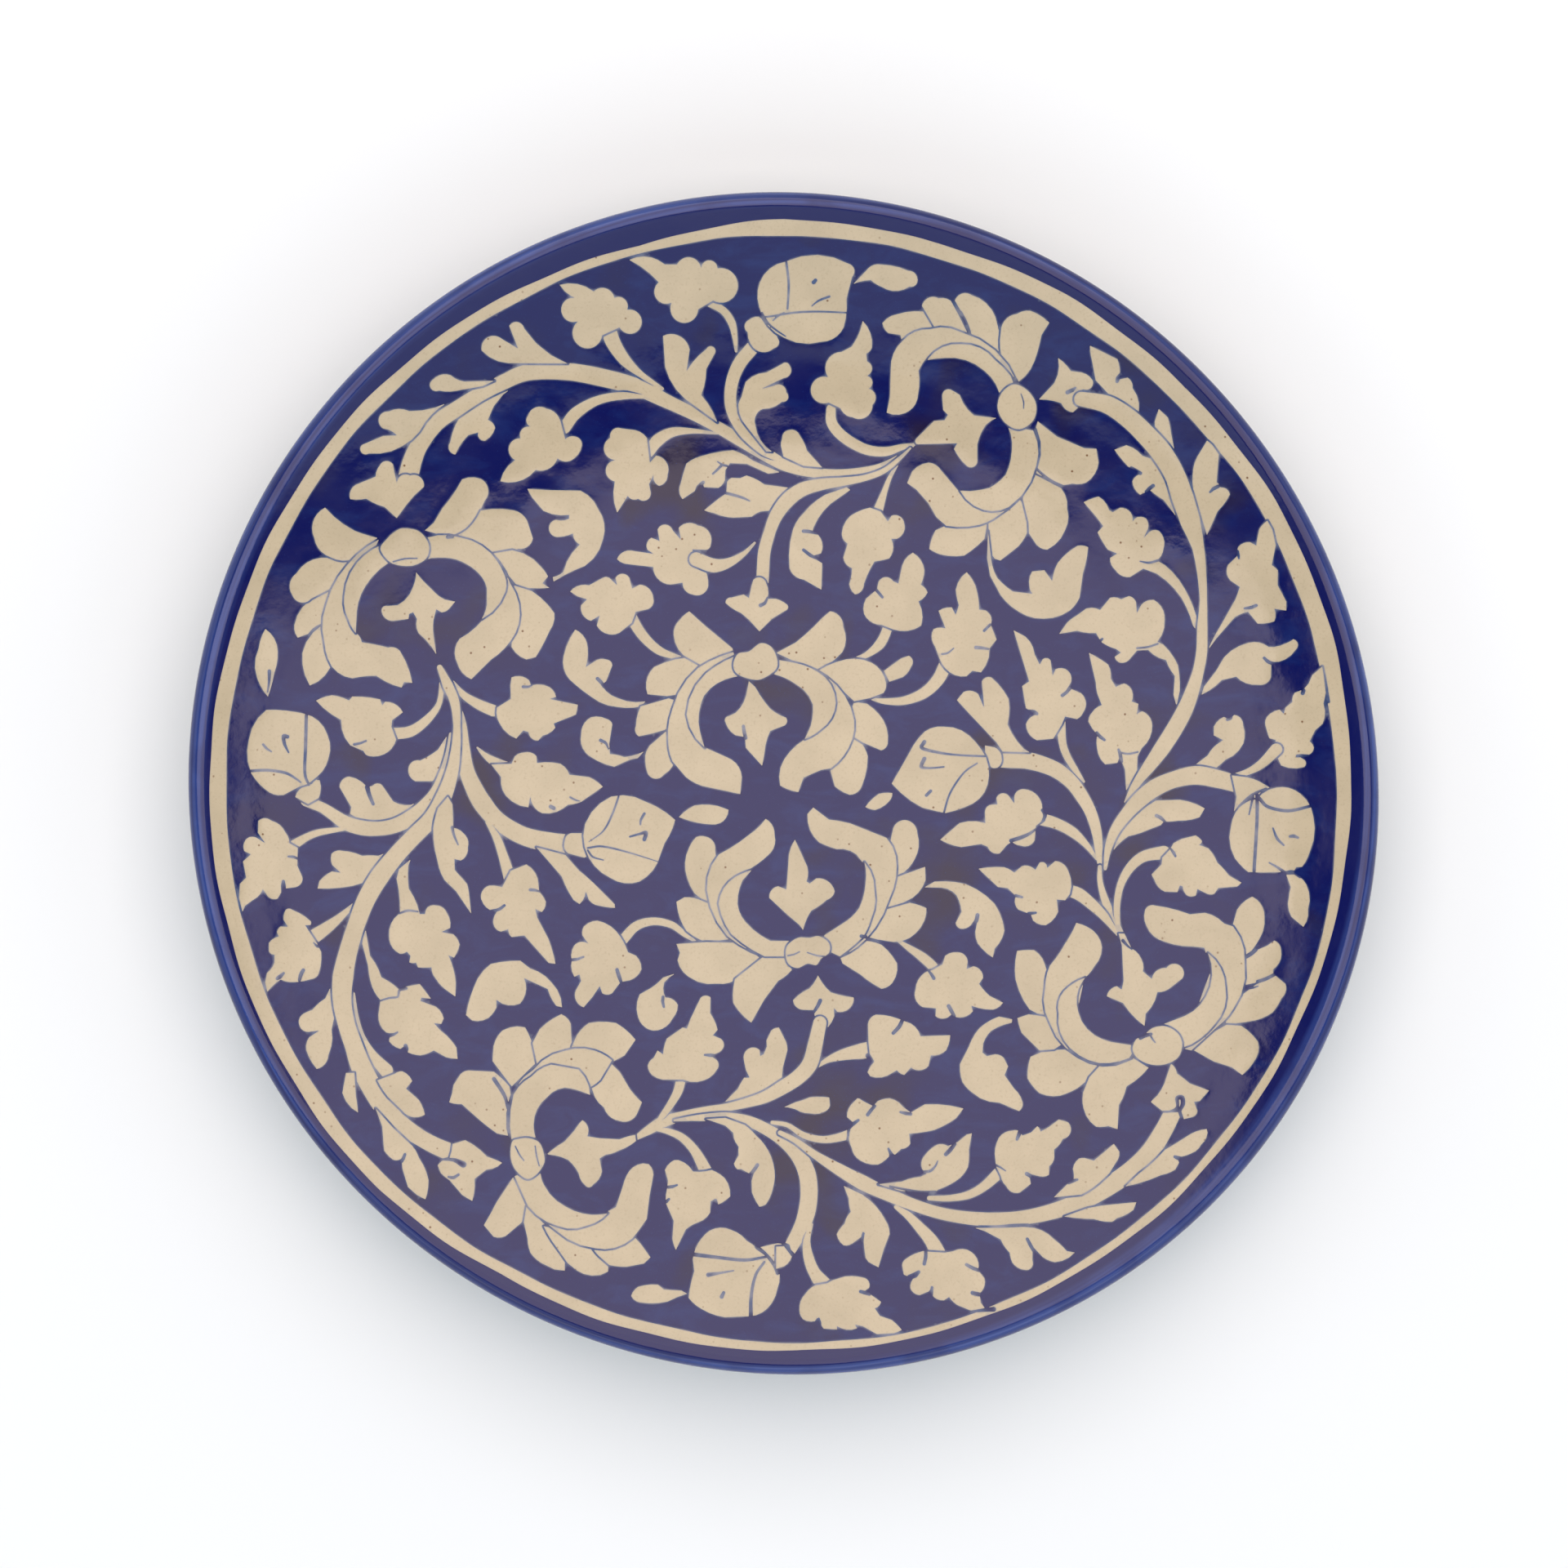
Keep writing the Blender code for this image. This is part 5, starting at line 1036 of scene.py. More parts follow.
def lotus_upper_right(c):
    """The lotus round the disc at (60, 97), which opens to the left."""
    c.vine([(33.3, 87), (30, 86.3), (26, 85.2), (21.5, 85.6), (17.5, 87.4), (14, 90), (12.1, 92.8),
           (12, 96)], [.7, 1.6, 2.4, 2.6, 2.7, 2.8, 2.7, 2.4])
    c.patch([(20, 118, .12), (22.4, 111.3, .1), (21, 109.8), (21.2, 107.9, .35), (21.2, 104.3, .35),
            (21.7, 101.1, .3), (22.6, 97, .3), (17.5, 93.9, .15), (14.4, 96.2), (11.4, 97.6, .7),
            (11.2, 104, .3), (14.6, 110.3), (17.2, 111.6, -.06)])
    c.patch([(54.2, 93.5), (48.5, 94.2, -.08), (44.8, 99.4), (42.8, 100.6, .3), (40.3, 99.2), (40.6, 95.6),
            (41.8, 94.4), (41, 93.1), (38.3, 92.9), (33.7, 88.4, .3), (34.2, 87), (44.2, 87.2),
            (43.4, 85.8, .05), (46.8, 81.4, .35), (49.4, 83.2), (49.4, 87, -.05), (51.5, 91.8, -.05)])
    c.patch([(25, 117.4, .1), (28.8, 119.6, .05), (35.4, 120.2), (38.8, 116), (33, 114.3), (30, 112.8),
            (29.6, 114.4), (26.5, 114.9, .1)])
    c.patch([(35, 121.6, .25), (39.2, 123.4, .1), (42.3, 122.8), (44.3, 119.3), (47, 114), (39, 115)])
    c.patch([(43.3, 122.8, .25), (47.5, 124.1, .15), (54.2, 116.5, .08), (54.6, 109.5), (48, 113.5),
            (46.2, 118)])
    c.brush([(44.9, 120), (46.3, 117.6), (47.4, 115)], (.5, .4, .2))
    c.patch([(59.7, 102.5, .08), (55.2, 109, .05), (55, 115, .2), (59, 119.3, .1), (62.5, 120, .05),
            (67.2, 117), (65.3, 114, .02), (63.6, 107.5, .08)])
    c.patch([(41.5, 66.4), (38.8, 65.2, .05), (37.2, 60.4, .03), (40, 59, .05), (46.2, 58.7, .03),
            (51.3, 62.9), (52, 66.8), (47, 68)])
    c.patch([(52.3, 67), (52.4, 60), (54, 57.8), (55.4, 57.4), (60, 61, .05), (62.3, 64.8, .05),
            (62.3, 69.5, .08), (60.3, 72.8), (56, 70)])
    c.patch([(61, 73), (62.5, 67), (62.6, 64.3), (64.6, 61.3, .1), (67.3, 60.1, .1), (71.8, 65, .1),
            (72.3, 70.5, .1), (70.8, 75.6), (66, 79.8), (62, 80)])
    c.patch([(63.8, 79.8), (62.4, 84.5), (64.6, 92.6), (69.5, 88.7), (76.5, 85.7), (79.5, 85.5),
            (80.1, 82, .12), (77, 77, .08), (73.5, 76.8, .03), (70.4, 76.4)])
    c.brush([(62.6, 84.6), (62.4, 83.2), (64.8, 80.3), (68, 77.6), (71.2, 76)], (1.3, .9, .6, .8, .9))
    c.patch([(58.5, 101.9, .1), (53, 109.2, .12), (45, 112.3, .12), (38, 110.3, .05), (36.3, 108.1, -.03),
            (43.5, 108.6, -.08), (51, 105.3, -.08), (54.8, 99.8)])
    c.patch([(59.3, 102.3, .12), (45, 115, .1), (37, 115.8, .12), (30.2, 113, .12), (27.2, 106), (27, 99),
            (26.2, 95, .1), (31, 94.9, .15), (34.2, 99.5, .05), (34.3, 105.5, -.05), (38, 110.5, -.1),
            (45, 112.5, -.12), (54, 108.3, -.05)])
    c.patch([(64, 90.5, .1), (64.3, 81, .05), (61.5, 75, .05), (55, 69, .05), (50, 66.5, .05), (41.5, 66.3),
            (39, 68.5), (37, 72), (33.8, 75.6), (31.5, 77.2), (32.8, 80.2, .1), (37, 82.4, .12),
            (40.2, 80.4), (44.8, 75, -.03), (52, 72, -.05), (57, 78), (58, 86)])
    c.patch([(63.5, 90.3, .1), (64.4, 81.5, .1), (57.5, 71, .1), (51, 70.3, .1), (45, 75.2, .02),
            (47.5, 75.1, -.02), (52.5, 75.9, -.05), (56.6, 79.2, -.05), (58.1, 85, -.08), (57, 91.5)])
    c.patch([(64.8, 98), (68.6, 102, -.1), (69.5, 108.3, .05), (72.8, 105), (75.5, 104.6, .1),
            (78.3, 102.6, .35), (76, 100.4), (74.5, 99.8), (75.4, 96.5), (73.5, 94.7, .15),
            (70.5, 97, -.05)])
    c.brush([(72, 99.7), (73.2, 100.2), (74, 100.8)], (1, 1, .5))
    c.blob([(54.4, 96), (55.4, 99.8), (58.5, 101.9), (62, 100.3), (64.2, 96.8), (63.5, 92.8), (60, 90.6),
           (56.3, 92.3)])
    c.brush([(60.3, 99.5), (61, 97.5), (61, 95.8)], (.2, .3, .2))


def right_vine(c):
    """The strong vine on the right, from the upper lotus down to the stem of the lower one."""
    c.patch([(77.4, 111.2), (84.4, 107.7, .04), (85.1, 104.6, .05), (84.4, 102.6), (87, 103.1, .15),
            (88.3, 100.5, .1), (90, 94.6), (84.5, 96.8), (79, 102.6), (78, 107.5, .03)])
    c.brush([(85.3, 104), (84.6, 103), (84.4, 102.2)], (.8, 1.1, .8))
    c.patch([(84, 85.2), (87, 86.3, .08), (91, 83.6), (95.5, 82), (99, 76), (100.2, 67.5),
            (96.5, 72.4, .02), (93, 74.9), (90.6, 73.8, .12), (88.6, 77.3, .1), (90.4, 79),
            (87.4, 81, .02)])
    c.brush([(88.3, 80.6), (89.4, 79.8), (90.6, 79.2)], (.8, 1.1, .9))
    c.brush([(92, 74.6), (92.9, 75.3), (93.8, 76)], (.6, 1, 1))
    c.patch([(94.9, 95.2), (93.9, 92, .05), (94.4, 89.6), (99.4, 83), (98, 89.5, .03), (97.2, 93)])
    c.brush([(95, 89.2), (96, 86.4), (97.3, 83.8)], (.4, .4, .2))
    c.patch([(107, 87.1), (104.6, 83, .06), (103.6, 78.5, .05), (104.2, 73.5), (107.4, 63.4), (109.2, 67.5),
            (110, 69.4, .05), (112.9, 73.5, .2), (110.6, 75.3, .1), (109.6, 76.6), (110, 83.6),
            (108.3, 86)])
    c.brush([(108, 74.2), (108.8, 75), (110, 75.6)], (.5, .9, .9))
    c.vine([(75.5, 98), (82, 96.5), (87.5, 92.9), (92, 88.6), (96, 84), (99.2, 78.6), (101.2, 73),
           (103.2, 67), (105.2, 60.5), (106.2, 54), (106.7, 47), (106.5, 40), (106.4, 34), (105.6, 29),
           (104.3, 24.5), (102.3, 19.2), (99.4, 13.8), (96.2, 8.8), (93.2, 4.6), (91, 1.6), (89.2, -1.2),
           (87.4, -4.4)], [3.6, 4.4, 4.8, 5, 5.2, 5, 5.4, 5, 3, 2.3, 1.8, 2.6, 2.8, 2.8, 3.4, 4, 4.2, 4,
           3.2, 2.4, 1.8, .8], root=0)
    c.vine([(80.8, -21), (80.9, -25), (82.3, -30), (84.4, -35), (86.8, -39.8)], [1, 1.4, 2, 2.2, 1.8],
           root=0)
    c.patch([(86.5, -10.5), (91.5, -6, -.03), (95, -4), (101, -3.8, .05), (107.3, -6), (106, -8.3, .05),
            (100.5, -9.2, .03), (97, -9.4), (96.3, -10.3), (93.2, -11.5, .03), (88, -13.2, -.05),
            (84, -17.2, -.03), (82.4, -22), (82.6, -15.5)])
    c.brush([(95.2, -7.9), (96.2, -8.4), (97.3, -9.4)], (.9, .9, .6))
    c.vine([(82.2, -21.5), (82.9, -16.5), (84.6, -11.8), (87.6, -7.5), (91, -3.8), (94.8, -.8), (99.5, 1.3),
           (105, 2.4), (110, 1.6), (115, .2), (119, -1.5)],
           [.8, 1.8, 2.6, 3.2, 4, 4.4, 4.2, 4.8, 4.6, 4.2, 4], root=0)
    c.vine([(85.6, -36.5), (85.1, -33), (85.3, -29), (86.3, -25), (88.6, -21), (92, -18.3), (97, -17.3)],
           [.8, 1.6, 1.7, 1.9, 2.4, 2.8, 3.4])
    c.patch([(99.4, -14.9), (101.5, -13.8), (105, -12.9, .05), (106.6, -14.3, .15), (105.9, -15.3),
            (108.2, -16.2, .05), (110.4, -19.8, .03), (113.3, -23.1), (116.4, -24.9, .02), (115.3, -25.9),
            (110.6, -26.3), (109.6, -27.8, .1), (107.8, -27.8), (105.4, -26.6), (105, -28.2, .15),
            (102.6, -28.1, .1), (101.7, -25.9), (101, -25.7), (100.4, -27.4), (97.2, -27.3, .12),
            (94.6, -24.2, .05), (93.9, -22.9), (96.4, -20.3), (96.6, -18.6), (98.5, -16.6)])
    c.brush([(98.8, -16.4), (99.5, -17.4), (99.9, -18.2)], (.5, .8, .6))


def right_bud(c):
    """The bud at the right rim and the leaf below it."""
    c.patch([(114, 2.4), (118, 1.9, .05), (122.3, 0), (124, -1), (120.2, -4), (118, -8), (114.5, -7),
            (115.2, -3)])
    c.patch([(120.2, -3.7, .1), (125, -.7, .12), (131, -2.3, .1), (134.1, -8, .08), (133.2, -17, .05),
            (131.3, -20.8), (129.9, -20.9), (129.3, -21.9, .02), (118, -22.2, .03), (114.8, -18.8, .1),
            (113.8, -10.5, .08), (116, -5.6, .03), (118.5, -4)])
    c.brush([(120.3, -2.6), (120.3, -8), (120, -14), (119.5, -22)], (.9, .8, .8, .8))
    c.brush([(120.8, -3.4), (123, -5.6), (128, -6.6), (133.4, -5.4)], (.9, .8, .8, .7))
    c.brush([(115.8, -5.5), (119, -2.6), (122.5, -1)], (.6, .7, .6))
    c.brush([(119.3, -3), (118.8, -5.3), (118.3, -7.6)], (.6, .5, .3))
    c.brush([(124.2, -11), (125.2, -13.6), (126.8, -15.3)], (.4, .7, .5))
    c.brush([(128.4, -13.1), (129.3, -13), (130.3, -13.4)], (.7, .9, .6))
    c.brush([(123.3, -19.8), (125.5, -21.1), (127.2, -22.4)], (.4, .6, .9))
    c.patch([(127.4, -22.8), (129.5, -22.7, .1), (132.3, -25.2, .1), (132.7, -31.5, .1), (131.5, -36),
            (128.6, -33.5, .1), (128, -28.5, .03), (128.5, -26)])
    c.brush([(127.3, -22.3), (129, -22.1), (130.8, -23.3)], (.8, .9, .8))


def leaf_pair_above_middle(c):
    """The two leaves between the top vine and the stem of the middle lotus."""
    c.patch([(-26, 73.1, .15), (-26.5, 77), (-25.9, 79.3), (-25, 82.2, .05), (-21.5, 84, .03),
            (-13, 85.6, .05), (-8, 83), (-1, 80), (-4, 79.6), (-9.5, 82.1), (-13.8, 82.3), (-15, 80.5),
            (-15.1, 78, .1), (-16.8, 76), (-20.5, 76.2), (-20.8, 77.3), (-22.4, 75.5)])
    c.brush([(-17, 82.7), (-15.8, 81.9), (-14.6, 81.6)], (.3, .6, .6))
    c.brush([(-16, 81.7), (-17, 80.7), (-18.2, 79.6)], (.7, .6, .5))
    c.brush([(-20.7, 77.4), (-21.8, 76.3), (-22.4, 75.3)], (.9, 1.1, .8))
    c.patch([(-20.5, 70.3), (-17.5, 72.7, .02), (-14.8, 74.6), (-14.6, 77.5, .1), (-13.4, 78.6),
            (-11.3, 78.5), (-9.6, 79.2, .05), (-5, 76.9), (2, 76), (5, 76), (1, 74), (-3.5, 70.2),
            (-6, 70, -.05), (-8.2, 68.7), (-13, 68.4, .05), (-18, 69.6, .02)])
    c.brush([(-14.9, 74.7), (-12.5, 74.1), (-10.3, 73.4), (-8.8, 72.7)], (.7, .7, .6, .3))
    c.patch([(-68.3, 101.4, -.1), (-75.3, 92.8, .15), (-73.5, 90.8, .1), (-76, 87.6, .3), (-77.8, 89.6),
            (-80.3, 88.9, -.05), (-83.6, 84, .3), (-84.9, 87, .05), (-82.3, 93.6), (-76, 98)])


def inner_curls(c):
    """The curl and the split leaf between the upper right and the middle lotus."""
    c.patch([(52.2, 65), (52, 58), (52.8, 53.5), (55.5, 48.5, .05), (60, 44.4, .08), (66.5, 42.5, .08),
            (73.2, 44.6, .05), (75.6, 47.8), (76.4, 54, .03), (77.7, 60.7, .08), (75, 61.1, .05),
            (70, 56.8, .05), (68.6, 52.2), (66.6, 54.9), (63.5, 54.6, .1), (62.8, 50.8, .1), (63.6, 48.9),
            (58.6, 49.5, -.03), (54.6, 53, -.05), (53, 58)])
    c.vine([(76.8, .8), (74.5, 4), (72.4, 7.5), (71.3, 11), (71, 16)], [.6, 1.6, 1.9, 2, 2.2])
    c.patch([(58.8, 39.6), (61.8, 38, .1), (64.2, 33.5), (65.5, 30.8), (66.2, 32.1, .25), (68.3, 31.8),
            (68.8, 28), (69.5, 29.6, .1), (72, 29.7, .2), (73.4, 26), (71.4, 22.9), (73.4, 24.6),
            (76, 23.5, .2), (76.6, 18.5, .1), (75, 16.8), (72, 17.5), (71.2, 15.5), (69.7, 13), (69, 11.8),
            (64.8, 11.4, .15), (62, 15.5, .15), (64.8, 18), (62, 19.6), (61, 25.3), (62.8, 26.5)])
    c.brush([(62.5, 19), (64, 18.7), (64.8, 18.2)], (.6, 1, .8))
    c.brush([(71.3, 22.9), (72.5, 23.8), (73.5, 24.8)], (.9, .8, .5))
    c.vine([(-84, 23), (-82.4, 16), (-81.9, 10), (-81.3, 4), (-79.3, -1), (-77, -5), (-73.3, -9.2),
           (-67, -13), (-60, -14.8), (-55.5, -15.2)], [.8, 2, 2.8, 3.8, 4.4, 4.8, 4.4, 4.6, 5.2, 5], root=0)
    c.vine([(-76, -9.5), (-73.6, -13.5), (-72, -18), (-70.5, -23), (-69.5, -27)], [1, 2, 2.4, 3, 3.4])
    c.patch([(-70, -22), (-66, -20.4, .1), (-63.1, -24), (-62.7, -27.4, .05), (-61, -30, .1),
            (-62, -32.6, .05), (-63.7, -31.8), (-63.2, -34), (-60.3, -39.5, .02), (-58.5, -45.9),
            (-60.3, -45.6), (-66.5, -38.6), (-69.8, -39, .1), (-70.6, -37), (-72.5, -37.6, .2),
            (-74.4, -34.5, .1), (-73, -32), (-75.2, -32.1, .1), (-77.5, -29.3, .2), (-75.5, -25.8, .05),
            (-72.2, -26.2)])
    c.brush([(-65, -26.9), (-63.8, -27), (-62.5, -27.4)], (.8, .7, .4))
    c.brush([(-75, -32.2), (-73, -31.9), (-71.6, -30.9)], (.5, .8, .7))


def paint_ornament(c):
    """The whole painting: the cream band, then vines, leaves, buds and the six lotuses."""
    c.band(band_edge(BAND_INNER, 1), band_edge(BAND_OUTER, 2))
    leaf_pair_above_middle(c)
    top_branch(c)
    lotus_upper_left(c)
    leaves_left(c)
    lotus_upper_right(c)
    leaves_right_of_middle(c)
    inner_curls(c)
    right_side(c)
    right_vine(c)
    right_bud(c)
    lotus_middle_upper(c)
    left_bud(c)
    leaves_far_left(c)
    leaves_left_of_middle(c)
    lotus_middle_lower(c)
    leaves_lower_right_of_middle(c)
    leaves_bottom_left(c)
    bottom_stems(c)
    lotus_bottom_left(c)
    bottom_right_stems(c)
    lotus_right_lower_petals(c)
    lotus_right(c)


# ---------------------------------------------------------------- from the canvas to a flat net


def contours(field, level=0.0):
    """Closed loops along field == level, in millimetres, with the higher side on one hand."""
    f = field - level
    f = np.where(f == 0, 1e-6, f)
    up = f > 0
    case = up[:-1, :-1] * 1 + up[:-1, 1:] * 2 + up[1:, 1:] * 4 + up[1:, :-1] * 8
    # Sides of a cell: 0 below, 1 right, 2 above, 3 left
    steps = {
        1: [(3, 0)], 2: [(0, 1)], 3: [(3, 1)], 4: [(1, 2)], 5: [(3, 0), (1, 2)], 6: [(0, 2)],
        7: [(3, 2)], 8: [(2, 3)], 9: [(2, 0)], 10: [(0, 1), (2, 3)], 11: [(2, 1)], 12: [(1, 3)],
        13: [(1, 0)], 14: [(0, 3)],
    }
    following = {}
    rows, columns = np.nonzero((case > 0) & (case < 15))
    for j, i in zip(rows.tolist(), columns.tolist()):
        sides = ((j, i, 0), (j, i + 1, 1), (j + 1, i, 0), (j, i, 1))
        for a, b in steps[int(case[j, i])]:
            following[sides[a]] = sides[b]

    def crossing(side):
        """Where the level crosses a side of a cell, in millimetres."""
        j, i, upright = side
        a = f[j, i]
        b = f[j + 1, i] if upright else f[j, i + 1]
        share = a / (a - b)
        if upright:
            return (i * CELL - HALF, (j + share) * CELL - HALF)
        return ((i + share) * CELL - HALF, j * CELL - HALF)

    loops = []
    seen = set()
    for start in following:
        loop = []
        side = start
        while side is not None and side not in seen:
            seen.add(side)
            loop.append(crossing(side))
            side = following.get(side)
        if len(loop) > 2:
            loops.append(np.array(loop))
    return loops


def simplified(loop, tolerance, longest):
    """Keeps the points that a loop's shape needs (Douglas and Peucker), at most longest apart."""
    closed = np.vstack([loop, loop[:1]])
    far = int(np.argmax(np.hypot(*(loop - loop[0]).T)))
    keep = np.zeros(len(closed), bool)
    keep[[0, far]] = True
    stack = [(0, far), (far, len(loop))]
    while stack:
        a, b = stack.pop()
        if b - a < 2:
            continue
        side = closed[b] - closed[a]
        length = math.hypot(*side)
        offset = closed[a + 1:b] - closed[a]
        if length < 1e-9:
            off = np.hypot(*offset.T)
        else:
            off = np.abs(offset[:, 0] * side[1] - offset[:, 1] * side[0]) / length
        worst = int(np.argmax(off))
        if off[worst] <= tolerance:
            if length <= longest:
                continue
            worst = (b - a) // 2 - 1
        middle = a + 1 + worst
        keep[middle] = True
        stack += [(a, middle), (middle, b)]
    return closed[:-1][keep[:-1]]


def sample(grid, x, y):
    """A grid's value at points, by linear interpolation."""
    u = np.clip((x + HALF) / CELL, 0, COUNT - 1.001)
    v = np.clip((y + HALF) / CELL, 0, COUNT - 1.001)
    i = u.astype(int)
    j = v.astype(int)
    s = u - i
    t = v - j
    low = grid[j, i] * (1 - s) + grid[j, i + 1] * s
    high = grid[j + 1, i] * (1 - s) + grid[j + 1, i + 1] * s
    return low * (1 - t) + high * t


def unevenness(r, azimuth):
    """How far the lip's waves move a point outwards."""
    share = np.maximum(0, (r - BARE_RADIUS) / (PLATE_RADIUS - BARE_RADIUS))
    waves = [high * np.cos(crests * (azimuth - math.radians(at))) for crests, high, at in LIP_WAVES]
    return share ** 2 * sum(waves)


def rim_circle():
    """Where the face ends and the lip's roll starts, as points seen from above."""
    azimuth = math.tau * np.arange(AROUND) / AROUND
    r = FACE_END_RADIUS + unevenness(FACE_END_RADIUS, azimuth)
    return np.stack([r * np.cos(azimuth), r * np.sin(azimuth)], 1)


def flat_net(field):
    """Triangles over the face with the borders of the cream among their edges.

    Gives the points, the triangles and, for each triangle, the number of its region, which no border
    crosses. The rim circle's points come first.
    """
    points = rim_circle().tolist()
    edges = [(i, (i + 1) % AROUND) for i in range(AROUND)]
    for loop in contours(field):
        if np.hypot(*np.diff(loop, axis=0).T).sum() < SMALLEST_LOOP:
            continue
        ring = simplified(loop, BORDER_TOLERANCE, LONGEST_SIDE)
        if len(ring) < 3:
            continue
        first = len(points)
        points += ring.tolist()
        edges += [(first + k, first + (k + 1) % len(ring)) for k in range(len(ring))]
    for level in (RING_OFFSET, -RING_OFFSET):
        for loop in contours(field, level):
            points += simplified(loop, 2 * BORDER_TOLERANCE, LONGEST_SIDE).tolist()
    rows = int(HALF / GRID_STEP * 1.2)
    row, column = np.meshgrid(np.arange(-rows, rows), np.arange(-rows, rows), indexing="ij")
    x = (column + 0.5 * (row % 2)) * GRID_STEP
    y = row * GRID_STEP * math.sqrt(3) / 2
    free = (np.hypot(x, y) < FACE_END_RADIUS - GRID_STEP) & (np.abs(sample(field, x, y)) > 2 * RING_OFFSET)
    points += np.stack([x[free], y[free]], 1).tolist()
    net = delaunay_2d_cdt([Vector(p) for p in points], edges, [], 0, 1e-5, True)
    flat = np.array([(p.x, p.y) for p in net[0]])
    faces = np.array(net[2])
    borders = {tuple(sorted(edge)) for edge, origin in zip(net[1], net[4]) if origin}
    return flat, faces, regions(faces, borders)


def regions(faces, borders):
    """Numbers the triangles by the region that they lie in."""
    across = {}
    for number, (a, b, c) in enumerate(faces.tolist()):
        for edge in ((a, b), (b, c), (c, a)):
            across.setdefault(tuple(sorted(edge)), []).append(number)
    neighbours = [[] for _ in faces]
    for edge, pair in across.items():
        if len(pair) == 2 and edge not in borders:
            neighbours[pair[0]].append(pair[1])
            neighbours[pair[1]].append(pair[0])
    region = np.full(len(faces), -1)
    count = 0
    for start in range(len(faces)):
        if region[start] >= 0:
            continue
        region[start] = count
        stack = [start]
        while stack:
            for other in neighbours[stack.pop()]:
                if region[other] < 0:
                    region[other] = count
                    stack.append(other)
        count += 1
    return region


def painted_classes(flat, faces, region, field):
    """For each triangle: 0 cobalt ground, 1 cream motif, 2 cream band, 3 cobalt rim."""
    corners = flat[faces]
    middle = corners.mean(1)
    first = corners[:, 1] - corners[:, 0]
    second = corners[:, 2] - corners[:, 0]
    area = np.abs(first[:, 0] * second[:, 1] - first[:, 1] * second[:, 0])
    vote = area * np.clip(sample(field, middle[:, 0], middle[:, 1]), -RING_OFFSET, RING_OFFSET)
    cream = np.bincount(region, vote) > 0
    outer_area = np.bincount(region, area * (np.hypot(*middle.T) > BAND_MIDDLE_RADIUS - 2))
    kind = cream.astype(int)
    kind[np.argmax(np.where(cream, outer_area, -1))] = 2
    rim = region[(faces < AROUND).any(1)]
    kind[rim[~cream[rim]]] = 3
    return kind[region]


# ---------------------------------------------------------------- the plate's surfaces


def spine(angle):
    """A point of the spine's arc, the way out of the face there, and half the wall's thickness."""
    r = FLOOR_RADIUS + WALL_ARC_RADIUS * np.sin(angle)
    z = SPINE_FLOOR_Z + WALL_ARC_RADIUS * (1 - np.cos(angle))
    half = FLOOR_HALF + (LIP_HALF - FLOOR_HALF) * angle / SPINE_END_ANGLE
    return r, z, -np.sin(angle), np.cos(angle), half


def skin(angle, side, inset=0.0):
    """Radius, height and normal of the face (side 1) or the back (side -1) at spine angles."""
    r, z, nr, nz, half = spine(angle)
    reach = side * (half - inset)
    return r + nr * reach, z + nz * reach, side * nr, side * nz


def face_at(r):
    """Height and normal of the face at radii."""
    angles = np.linspace(0, SPINE_END_ANGLE, 400)
    radii, heights, nr, nz = skin(angles, 1)
    angle = np.interp(r, radii, angles, left=0.0)
    return np.interp(r, radii, heights), -np.sin(angle), np.cos(angle)


def angle_at(radius):
    """The spine angle at a radius."""
    return np.arcsin((radius - FLOOR_RADIUS) / WALL_ARC_RADIUS)


def box_blur(grid, reach):
    """The mean over a square of cells that reaches that far each way."""
    side = 2 * reach + 1
    padded = np.pad(grid, ((reach + 1, reach), (reach + 1, reach)), mode="edge").astype(float)
    total = padded.cumsum(0).cumsum(1)
    inside = total[side:, side:] - total[:-side, side:] - total[side:, :-side] + total[:-side, :-side]
    return inside / side ** 2


def soft_noise(step, seed):
    """Smooth noise from -1 to 1 over the canvas, with lumps of about step millimetres."""
    count = int(2 * HALF / step) + 3
    values = np.random.default_rng(seed).uniform(-1, 1, (count, count))
    place = np.arange(COUNT) * CELL / step
    cell = place.astype(int)
    t = place - cell
    t = t * t * t * (t * (t * 6 - 15) + 10)
    across = values[:, cell] * (1 - t) + values[:, cell + 1] * t
    return across[cell] * (1 - t)[:, None] + across[cell + 1] * t[:, None]


def relief_grid(cover):
    """How far the glaze stands proud of the turned surface, in millimetres.

    The cobalt coat is a little thicker than the cream, the surface rolls slightly, and faint throwing
    rings run round it. All of it fades out before the lip.
    """
    axis = np.arange(COUNT) * CELL - HALF
    x, y = np.meshgrid(axis, axis)
    r = np.hypot(x, y)
    rings = np.sin(math.tau * (r + 1.5 * soft_noise(60, 5)) / THROWING_STEP)
    rolls = soft_noise(17, 3) + 0.45 * soft_noise(7, 4)
    fade = np.clip((FACE_END_RADIUS - 2 - r) / 8, 0, 1)
    return fade * (COAT_HEIGHT * cover + RING_HEIGHT * rings + ROLL_HEIGHT * rolls)


def lift(flat, relief):
    """Face points in space and their normals."""
    r = np.hypot(*flat.T)
    azimuth = np.arctan2(flat[:, 1], flat[:, 0])
    nominal = r
    for _ in range(3):
        nominal = r - unevenness(nominal, azimuth)
    z, nr, nz = face_at(nominal)
    slope_y, slope_x = np.gradient(relief, CELL)
    out = flat / np.maximum(r, 1e-6)[:, None]
    points = np.column_stack([flat, z + sample(relief, *flat.T)])
    normals = np.column_stack([
        out[:, 0] * nr - sample(slope_x, *flat.T),
        out[:, 1] * nr - sample(slope_y, *flat.T),
        nz,
    ])
    return points, normals / np.linalg.norm(normals, axis=1)[:, None]


